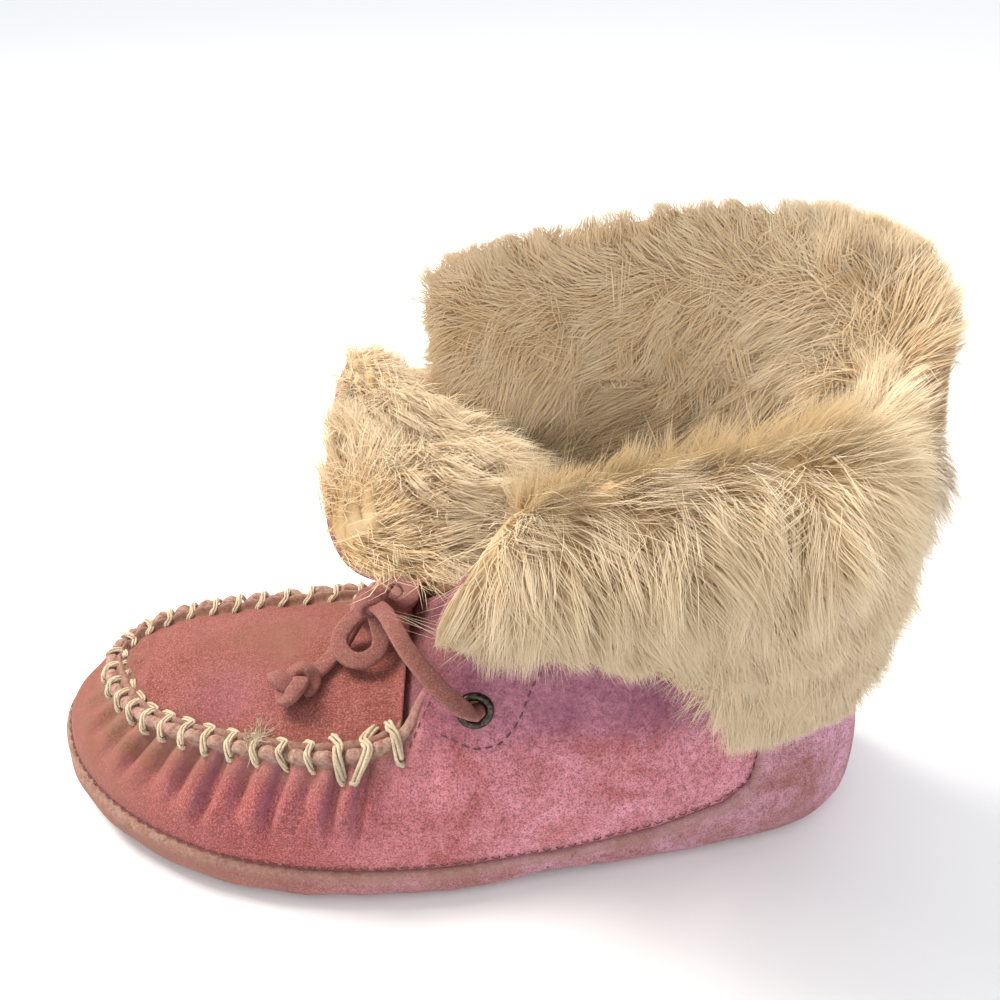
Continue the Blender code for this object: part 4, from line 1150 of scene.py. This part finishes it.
# place, width and length of the tufts that hang over the flap's edge
TUFTS = ((0.24, 0.04, 5 * MM), (0.44, 0.018, 9 * MM), (0.51, 0.02, 11 * MM))


def comb_cuff(u, v):
    blend = ease(0.22, 0.50, v)
    combs = []
    for inside, flap in zip(COMB_INSIDE, COMB_FLAP):
        inside, flap = np.interp(u, COMB_SHARES, inside), np.interp(u, COMB_SHARES, flap)
        combs.append(inside * (1 - blend) + flap * blend)
    fringe = ease(0.86, 0.96, v) * ease(0.56, 0.64, u)
    folded = 1 - ease(0.50, 0.58, u)
    reach = 22 * MM * (1 - 0.55 * fringe)
    weight = 4.5 * MM * ease(0.45, 0.8, v) * folded * (1 - 0.85 * ease(0.80, 0.95, v))
    wedge = ease(0.92, 0.98, u) * ease(0.40, 0.50, v) * (1 - ease(0.80, 0.92, v))
    overhang = 0.4 * MM + 4.5 * MM * fringe + 4 * MM * wedge
    for place, width, length in TUFTS:
        overhang = overhang + length * bell((u - place) / width) * folded
    return combs[0] + 1.2 * wedge, combs[1] + 1.9 * fringe, reach, weight, overhang


def comb_tongue(u, v):
    front = ease(0.72, 0.98, u)
    swirl = 1.4 * bell((u - 0.80) / 0.12) * bell((v - 0.35) / 0.22)
    comb_u = -1.0 + 1.6 * front + swirl
    comb_v = 0.25 * np.sin(7 * v) - 0.9 * swirl * (v - 0.4) * 3
    loose = ease(0.22, 0.45, u)
    reach = (15 + 5 * v) * MM * (1 - 0.45 * front) * (0.25 + 0.75 * loose)
    return comb_u, comb_v, reach, 0.5 * MM * loose, 0.2 * MM + 3.2 * MM * ease(0.5, 0.9, v) * loose


def comb_lining(u, v):
    return 0.2 + 0 * u, -0.9 + 0 * u, 5 * MM * np.ones_like(u), 1 * MM * np.ones_like(u), 0.0


# stretches of the collar that its locks are grown in
LOCK_WINDOWS = ((0.0, 0.27), (0.25, 0.47), (0.45, 0.70), (0.68, 1.0))


def build_pile(fur, felt, sheet, tongue):
    face, direction, column = sheet
    share = np.linspace(0, 1, face.shape[0])[:, None]
    place = np.linspace(0, 1, face.shape[1])[None, :]
    trimmed = ease(0.74, 0.97, place) * (1 - ease(0.26, 0.44, share))
    depth = collar_pile(share, place, column[:, None]) * (1 - 0.80 * trimmed)
    cuff = Coat(face + direction * SUEDE, direction, depth, comb_cuff, painted_light=True)
    base_coat("fur_cuff_felt", cuff, 0.45, felt, "cuff_pile", ["fur_cuff"])
    for number, window in enumerate(LOCK_WINDOWS):
        name = "fur_cuff_locks_" + "abcd"[number]
        grow(name, cuff, fur, "cuff_pile", 600, 40, 2.2 * MM, 0.30 * MM, 11 + number, 0.72, 0.24, window)
    grow("fur_cuff_down", cuff, fur, "cuff_pile", 1800, 6, 2.4 * MM, 0.26 * MM, 21, 0.35, 0.9)
    points, normal, tongue_depth, places = tongue
    first = int(np.argmax(places > 2.6))
    lobe = Coat(points[first:] + normal[first:] * SUEDE, normal[first:], tongue_depth[first:], comb_tongue)
    base_coat("fur_tongue_felt", lobe, 0.5, felt, "tongue_pile", ["fur_tongue"])
    grow("fur_tongue_locks", lobe, fur, "tongue_pile", 640, 34, 1.5 * MM, 0.28 * MM, 31, 0.6, 0.4)
    grow("fur_tongue_down", lobe, fur, "tongue_pile", 1000, 6, 2.0 * MM, 0.26 * MM, 32, 0.3, 1.3)


def build_lining(fur, felt):
    rows = np.arange(0, ROW_COUNT + 0.01, 0.2)[:, None]
    levels = np.linspace(0.16, 0.985, 26)[None, :]
    points = off_wall(rows, levels, -SUEDE - 0.2 * MM)
    direction = -wall_normal(rows, levels)
    thickness = 4.5 * MM * ease(1.02, 0.80, levels) + 0.4 * MM + 0 * rows
    coat = Coat(points, direction, thickness, comb_lining)
    base_coat("lining_felt", coat, 0.8, felt, "lining_pile")
    grow("lining_strands", coat, fur, "lining_pile", 240, 16, 1.6 * MM, 0.4 * MM, 41)
    stations = np.linspace(0.0, TOE_ROW, 90)
    lateral = sole_point(stations) + inward(sole_point, stations) * 6 * MM
    medial = sole_point(ROW_COUNT - stations) + inward(sole_point, ROW_COUNT - stations) * 6 * MM
    across = np.linspace(0, 1, 30)[None, :, None]
    footbed = lateral[:, None] * (1 - across) + medial[:, None] * across
    lumps = 0.5 * MM * np.sin(footbed[..., 0] * 900) * np.sin(footbed[..., 1] * 1100)
    footbed[..., 2] = lift(footbed[..., 0]) + SOLE_BOTTOM + 3.2 * MM + lumps
    paint = paint_of(footbed.shape[:2], 0.45, 0.3)
    item = shell("insole_pile", footbed, footbed - UP * 3 * MM, felt, paint)
    place_piece(item, "lining_pile", "insole")


# Stitching
# level on the wall, reach over the apron and thickness, of most whipstitches and of the long last ones
WHIPSTITCH = (0.965, 3.4 * MM, 0.85)
LONG_WHIPSTITCH = (0.90, 5.2 * MM, 1.25)
# pitch and length of the topstitches; pitch, length and thread of the sole's stitches
TOPSTITCH = (2.9 * MM, 2.1 * MM)
SOLE_STITCH = (3.3 * MM, 2.3 * MM, 0.15 * MM)


def build_whipstitches(material):
    parts = []
    spine, crown = apron_spines(np.minimum(STITCH_ROWS, ROW_COUNT - STITCH_ROWS))
    for number, row in enumerate(STITCH_ROWS):
        is_long = number < LONG_STITCHES
        low, reach, thick = LONG_WHIPSTITCH if is_long else WHIPSTITCH
        slant = 0.11 * (1 if row < TOE_ROW else -1) * (1.5 * (-1) ** number if is_long else 1.0)
        outer_row, inner_row = row - slant, row + slant
        inner, _ = apron_surface(np.array(inner_row), np.array(reach), spine[number], crown[number])
        outer = off_wall(outer_row, low, 1.0 * MM + gather(outer_row, low))
        top = top_point(row) + inward(top_point, row) * SUEDE + UP * (RIDGE_HEIGHT + 0.2 * MM)
        shoulder = inward(top_point, row) * 2.1 * MM
        route = (
            outer - wall_normal(outer_row, low) * 2.2 * MM,
            outer,
            top - shoulder - UP * 0.7 * MM,
            top,
            top + shoulder - UP * 0.7 * MM,
            inner + UP * 0.5 * MM,
            inner - UP * 2.0 * MM,
        )
        middle = through_points(route, np.linspace(0, len(route) - 1, 26))
        ahead = unit(np.gradient(middle, axis=0))
        across = unit(np.cross(ahead, UP + 0.001))
        over = np.cross(across, ahead)
        spins = np.linspace(0, 2 * math.pi * 0.8, len(middle)) + number
        for ply in range(4):
            angle = (spins + ply * math.pi / 2)[:, None]
            twist = across * np.cos(angle) * 0.66 * MM + over * np.sin(angle) * 0.40 * MM
            parts.append(tube(middle + twist * thick, YARN_PLY * thick, 5))
    place_parts("whipstitch_yarn", parts, material, "cuff_pile")


# row, number of hairs and reach of each worn place
FRAYS = ((11.72, 44, 8 * MM), (11.82, 20, 5 * MM))


def build_frays(material):
    """Fluffed yarn where the near seam has worn."""
    random = np.random.default_rng(5)
    parts = []
    for row, count, reach in FRAYS:
        inner = inward(top_point, row)
        start = top_point(row) + inner * SUEDE + UP * RIDGE_HEIGHT
        for _ in range(count):
            ahead = unit(inner * random.uniform(0.2, 1.1) + random.normal(0, 0.6, 3) + UP * 0.1)
            steps = ahead * reach * random.uniform(0.2, 1.0) / 6 + random.normal(0, 0.4 * MM, (6, 3))
            path = np.concatenate((np.zeros((1, 3)), np.cumsum(steps, axis=0)))
            points = start + random.normal(0, 0.9 * MM, 3) + path
            points[:, 2] = np.clip(points[:, 2], start[2] - 2.0 * MM, start[2] + 1.5 * MM)
            parts.append(tube(points, 0.07 * MM, 3))
    place_parts("yarn_frays", parts, material, "cuff_pile")


def stitch_run(points, normals, pitch, length, radius=THREAD):
    """Short sunk stitches along a line on a surface."""
    places = np.linspace(0, len(points) - 1, 30 * len(points))
    fine = through_points(points, places)
    facing = unit(through_points(normals, places))
    distance = np.concatenate(([0.0], np.cumsum(np.linalg.norm(np.diff(fine, axis=0), axis=1))))
    parts = []
    arch = np.array((-0.5, 0.12, 0.28, 0.28, 0.12, -0.5)) * MM
    for start in np.arange(0.3 * pitch, distance[-1] - length, pitch):
        targets = start + np.linspace(0, length, len(arch))
        middle = np.column_stack([np.interp(targets, distance, fine[:, axis]) for axis in range(3)])
        up = np.column_stack([np.interp(targets, distance, facing[:, axis]) for axis in range(3)])
        parts.append(tube(middle + up * arch[:, None], radius, 6))
    return parts


# row and level of points along the topstitches
STAY_STITCH = (
    (6.00, 0.985), (6.10, 0.94), (6.20, 0.86), (6.30, 0.78), (6.50, 0.70),
    (6.70, 0.68), (6.90, 0.68), (7.20, 0.72), (7.60, 0.78), (8.00, 0.84),
)
FRONT_EDGE_STITCH = ((7.45, 0.975), (7.90, 0.955), (8.20, 0.94), (8.60, 0.94), (8.85, 0.93))


def build_topstitches(material):
    parts = []
    for line in (STAY_STITCH, FRONT_EDGE_STITCH):
        for flip in (False, True):
            rows = np.array([ROW_COUNT - row if flip else row for row, _ in line])
            levels = np.array([level for _, level in line])
            points = off_wall(rows, levels, slack(rows, levels) + gather(rows, levels))
            parts += stitch_run(points, wall_normal(rows, levels), *TOPSTITCH)
    rows = np.linspace(0, ROW_COUNT, 129)
    levels = rim_levels(rows) + 1.6 * MM / ANKLE_HEIGHT
    points = off_wall(rows, levels, 0.25 * MM)
    parts += stitch_run(points, wall_normal(rows, levels), *SOLE_STITCH)
    place_parts("topstitch_thread", parts, material, "upper_suede")


# Eyelets and lace
def build_eyelet(side, material):
    centre, axis = eyelet_frame(side)
    first = unit(np.cross(axis, UP))
    second = np.cross(axis, first)
    bore, outer = EYELET_BORE / 2, EYELET_OUTER / 2
    angles = np.linspace(0, 2 * math.pi, EYELET_SPOKES, endpoint=False)
    swell = np.linspace(0, math.pi, 12)
    radii = (bore + outer) / 2 + (outer - bore) / 2 * np.cos(swell)
    heights = 0.15 * MM + 1.35 * MM * np.sin(swell)
    radii = np.concatenate((radii, [bore, bore, bore + 0.25 * MM, bore + 0.25 * MM]))
    heights = np.concatenate((heights, [-0.5 * MM, -2.6 * MM, -2.6 * MM, 0.1 * MM]))
    spokes = first * np.cos(angles)[:, None] + second * np.sin(angles)[:, None]
    grid = centre + spokes[:, None] * radii[None, :, None] + axis * heights[None, :, None]
    faces = [grid_faces(*grid.shape[:2], wrap_rows=True, wrap_columns=True)]
    item = weld(new_piece("eyelet_ring_" + side, grid, faces, material))
    place_piece(item, "gunmetal", "eyelet_" + side)


def lace_guide(points):
    """The direction that the flat of a lace faces along its route: up, and a little out of its turns."""
    ahead = unit(np.gradient(points, axis=0))
    return unit(UP * 0.85 + np.array((0, -0.5, 0)) + 0.15 * np.cross(ahead, UP))


def build_ribbon(name, points, material):
    points = np.asarray(points)
    flatness = LACE_WIDTH / LACE_THICKNESS
    vertices, faces = tube(points, LACE_THICKNESS / 2, RIBBON_SIDES, lace_guide(points), flatness)
    rough = np.sin(vertices[:, :1] * 4100) * np.sin(vertices[:, 1:2] * 3700) * np.sin(vertices[:, 2:] * 3900)
    vertices = vertices + 0.10 * MM * rough
    # Dirt, a little painted cool shade, and wear on the laces
    item = new_piece(name, vertices, faces, material, paint_of((len(vertices),), 0.25, 0.1, 0.15))
    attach(item, "root")
    return item


def build_cord(name, points, material):
    item = build_ribbon(name + "_suede", points, material)
    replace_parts(item, name)
    return item


def build_lace(material):
    bow = np.array(BOW_PLACE) * MM
    tip = np.array(TIP_KNOT_PLACE) * MM
    for side, route in LACE_BARS.items():
        centre, axis = eyelet_frame(side)
        start = [centre - axis * 6 * MM, centre - axis * 1.0 * MM, centre + axis * 2.2 * MM]
        points = even_route(start + [np.array(point) * MM for point in route] + [bow], 1.5 * MM)
        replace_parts(build_ribbon("lace_bar_suede_" + side, points, material), "lace_bar_" + side)
    knot = build_bow_knot(bow, material)
    tip_knot = build_tip_knot(tip, material)
    for name, route in LACE_CORDS.items():
        points = [np.array(point) * MM for point in route]
        points.insert(0, bow + LACE_ROOT_SHARE * (points[0] - bow))
        if "loop" in name:
            points.append(bow + 0.55 * (points[-1] - bow))
        if name == "lace_end_near":
            points.append(tip + np.array((1.5, 1.0, 0.0)) * MM)
        build_cord(name, even_route(points, 1.2 * MM), material)


def build_bow_knot(centre, material):
    """The bow's knot: the lace wrapped about itself, once over and once slanting."""
    parts = []
    angles = np.linspace(0, 2 * math.pi * 0.94, 40)
    cosine, sine = np.cos(angles), np.sin(angles)
    for lean, radius, shift in KNOT_COILS:
        ring = np.column_stack((cosine * radius, sine * 0.15 + shift, sine * radius * 0.85))
        c, s = math.cos(lean), math.sin(lean)
        ring = ring @ np.array(((c, s, 0), (-s, c, 0), (0, 0, 1))) * MM
        parts.append(tube(centre + ring, LACE_THICKNESS / 2, KNOT_SIDES, ring, LACE_WIDTH / LACE_THICKNESS))
    return place_parts("lace_knot_suede", parts, material, "lace_suede", "lace_knot", paint=KNOT_PAINT)


def build_tip_knot(centre, material):
    """An overhand knot, a trefoil of lace, with the cut end standing out of it."""
    angles = np.linspace(0.35, 2 * math.pi + 0.15, 90)
    size = 1.7 * MM
    knot = np.column_stack((
        np.sin(angles) + 2 * np.sin(2 * angles),
        np.cos(angles) - 2 * np.cos(2 * angles),
        -1.1 * np.sin(3 * angles),
    )) * size
    end = knot[-1] + np.outer(np.linspace(0.1, 1.0, 8), np.array((-4.2, -3.0, -1.0)) * MM)
    points = centre + np.concatenate((knot, end))
    points[:, 2] = np.maximum(points[:, 2], centre[2] - 2.4 * MM)
    parts = [tube(points, TIP_RADIUS, KNOT_SIDES, UP + 0.3 * unit(points - centre), TIP_FLATNESS)]
    return place_parts("lace_tip_suede", parts, material, "lace_suede", "lace_tip", paint=TIP_PAINT)


# Studio
def build_camera():
    data = bpy.data.cameras.new("camera")
    data.lens = LENS
    data.sensor_width = 36.0
    data.clip_start = 0.01
    camera = bpy.data.objects.new("camera", data)
    camera.location = CAMERA_PLACE
    camera.rotation_euler = (math.radians(CAMERA_TILT), 0, 0)
    bpy.context.scene.collection.objects.link(camera)
    bpy.context.scene.camera = camera


def add_light(name, place, size, power, colour):
    data = bpy.data.lights.new(name, "AREA")
    data.size = size
    data.energy = power
    data.color = colour
    lamp = bpy.data.objects.new(name, data)
    lamp.location = place
    lamp.rotation_euler = (Vector(LIGHT_TARGET) - Vector(place)).to_track_quat("-Z", "Y").to_euler()
    bpy.context.scene.collection.objects.link(lamp)


def build_studio():
    material, _, shader, _ = new_material("paper_floor")
    shader.inputs["Base Color"].default_value = FLOOR_COLOUR
    shader.inputs["Roughness"].default_value = 0.9
    bpy.ops.mesh.primitive_plane_add(size=FLOOR_SIZE, location=(0, 0, -0.1 * MM))
    floor = bpy.context.object
    floor.name = "floor"
    floor.data.materials.append(material)
    world = bpy.data.worlds.new("studio")
    world.use_nodes = True
    world.node_tree.nodes["Background"].inputs["Color"].default_value = SKY_COLOUR
    world.node_tree.nodes["Background"].inputs["Strength"].default_value = 1.0
    bpy.context.scene.world = world
    bpy.context.scene.view_settings.view_transform = "Standard"
    for light in LIGHTS:
        add_light(*light)


def main():
    build_camera()
    lace = suede("lace_suede_worn", (0.40, 0.135, 0.105), (0.29, 0.085, 0.065))
    build_lace(lace)
    build_studio()
    pink = suede("pink_suede_worn", (0.475, 0.130, 0.124), (0.39, 0.100, 0.090), 0.5, (0.97, 0.44, 0.54))
    apron = suede("apron_suede_worn", (0.375, 0.120, 0.105), (0.30, 0.082, 0.060), 0.9)
    sole = suede("sole_suede_worn", (0.43, 0.165, 0.140), (0.33, 0.120, 0.095), 0.8, (0.98, 0.54, 0.74))
    collar = suede("collar_suede_worn", (0.44, 0.165, 0.185), (0.34, 0.115, 0.120))
    # The root colour is painted shade at the roots
    fur = pile("cream_locks", (0.36, 0.23, 0.10), (0.71, 0.50, 0.265), (0.93, 0.82, 0.61))
    # The felt's colours are darker than the locks': painted shade of the pile's depths
    felt = pile("cream_felt", (0.32, 0.20, 0.09), (0.62, 0.45, 0.24), (0.78, 0.62, 0.39))
    build_upper(pink)
    build_apron(apron)
    build_outsole(sole)
    sheet = collar_sheet()
    tongue = tongue_sheet()
    build_shaft(collar, sheet)
    build_tongue(collar, tongue)
    build_pile(fur, felt, sheet, tongue)
    build_lining(fur, felt)
    yarn = yarn_material("cream_yarn", (0.78, 0.66, 0.46), (0.50, 0.36, 0.22))
    build_whipstitches(yarn)
    build_frays(yarn)
    build_topstitches(yarn_material("dark_thread", (0.20, 0.065, 0.070), (0.12, 0.040, 0.045)))
    metal = metal_material()
    for side in EYELET_ROWS:
        build_eyelet(side, metal)


main()
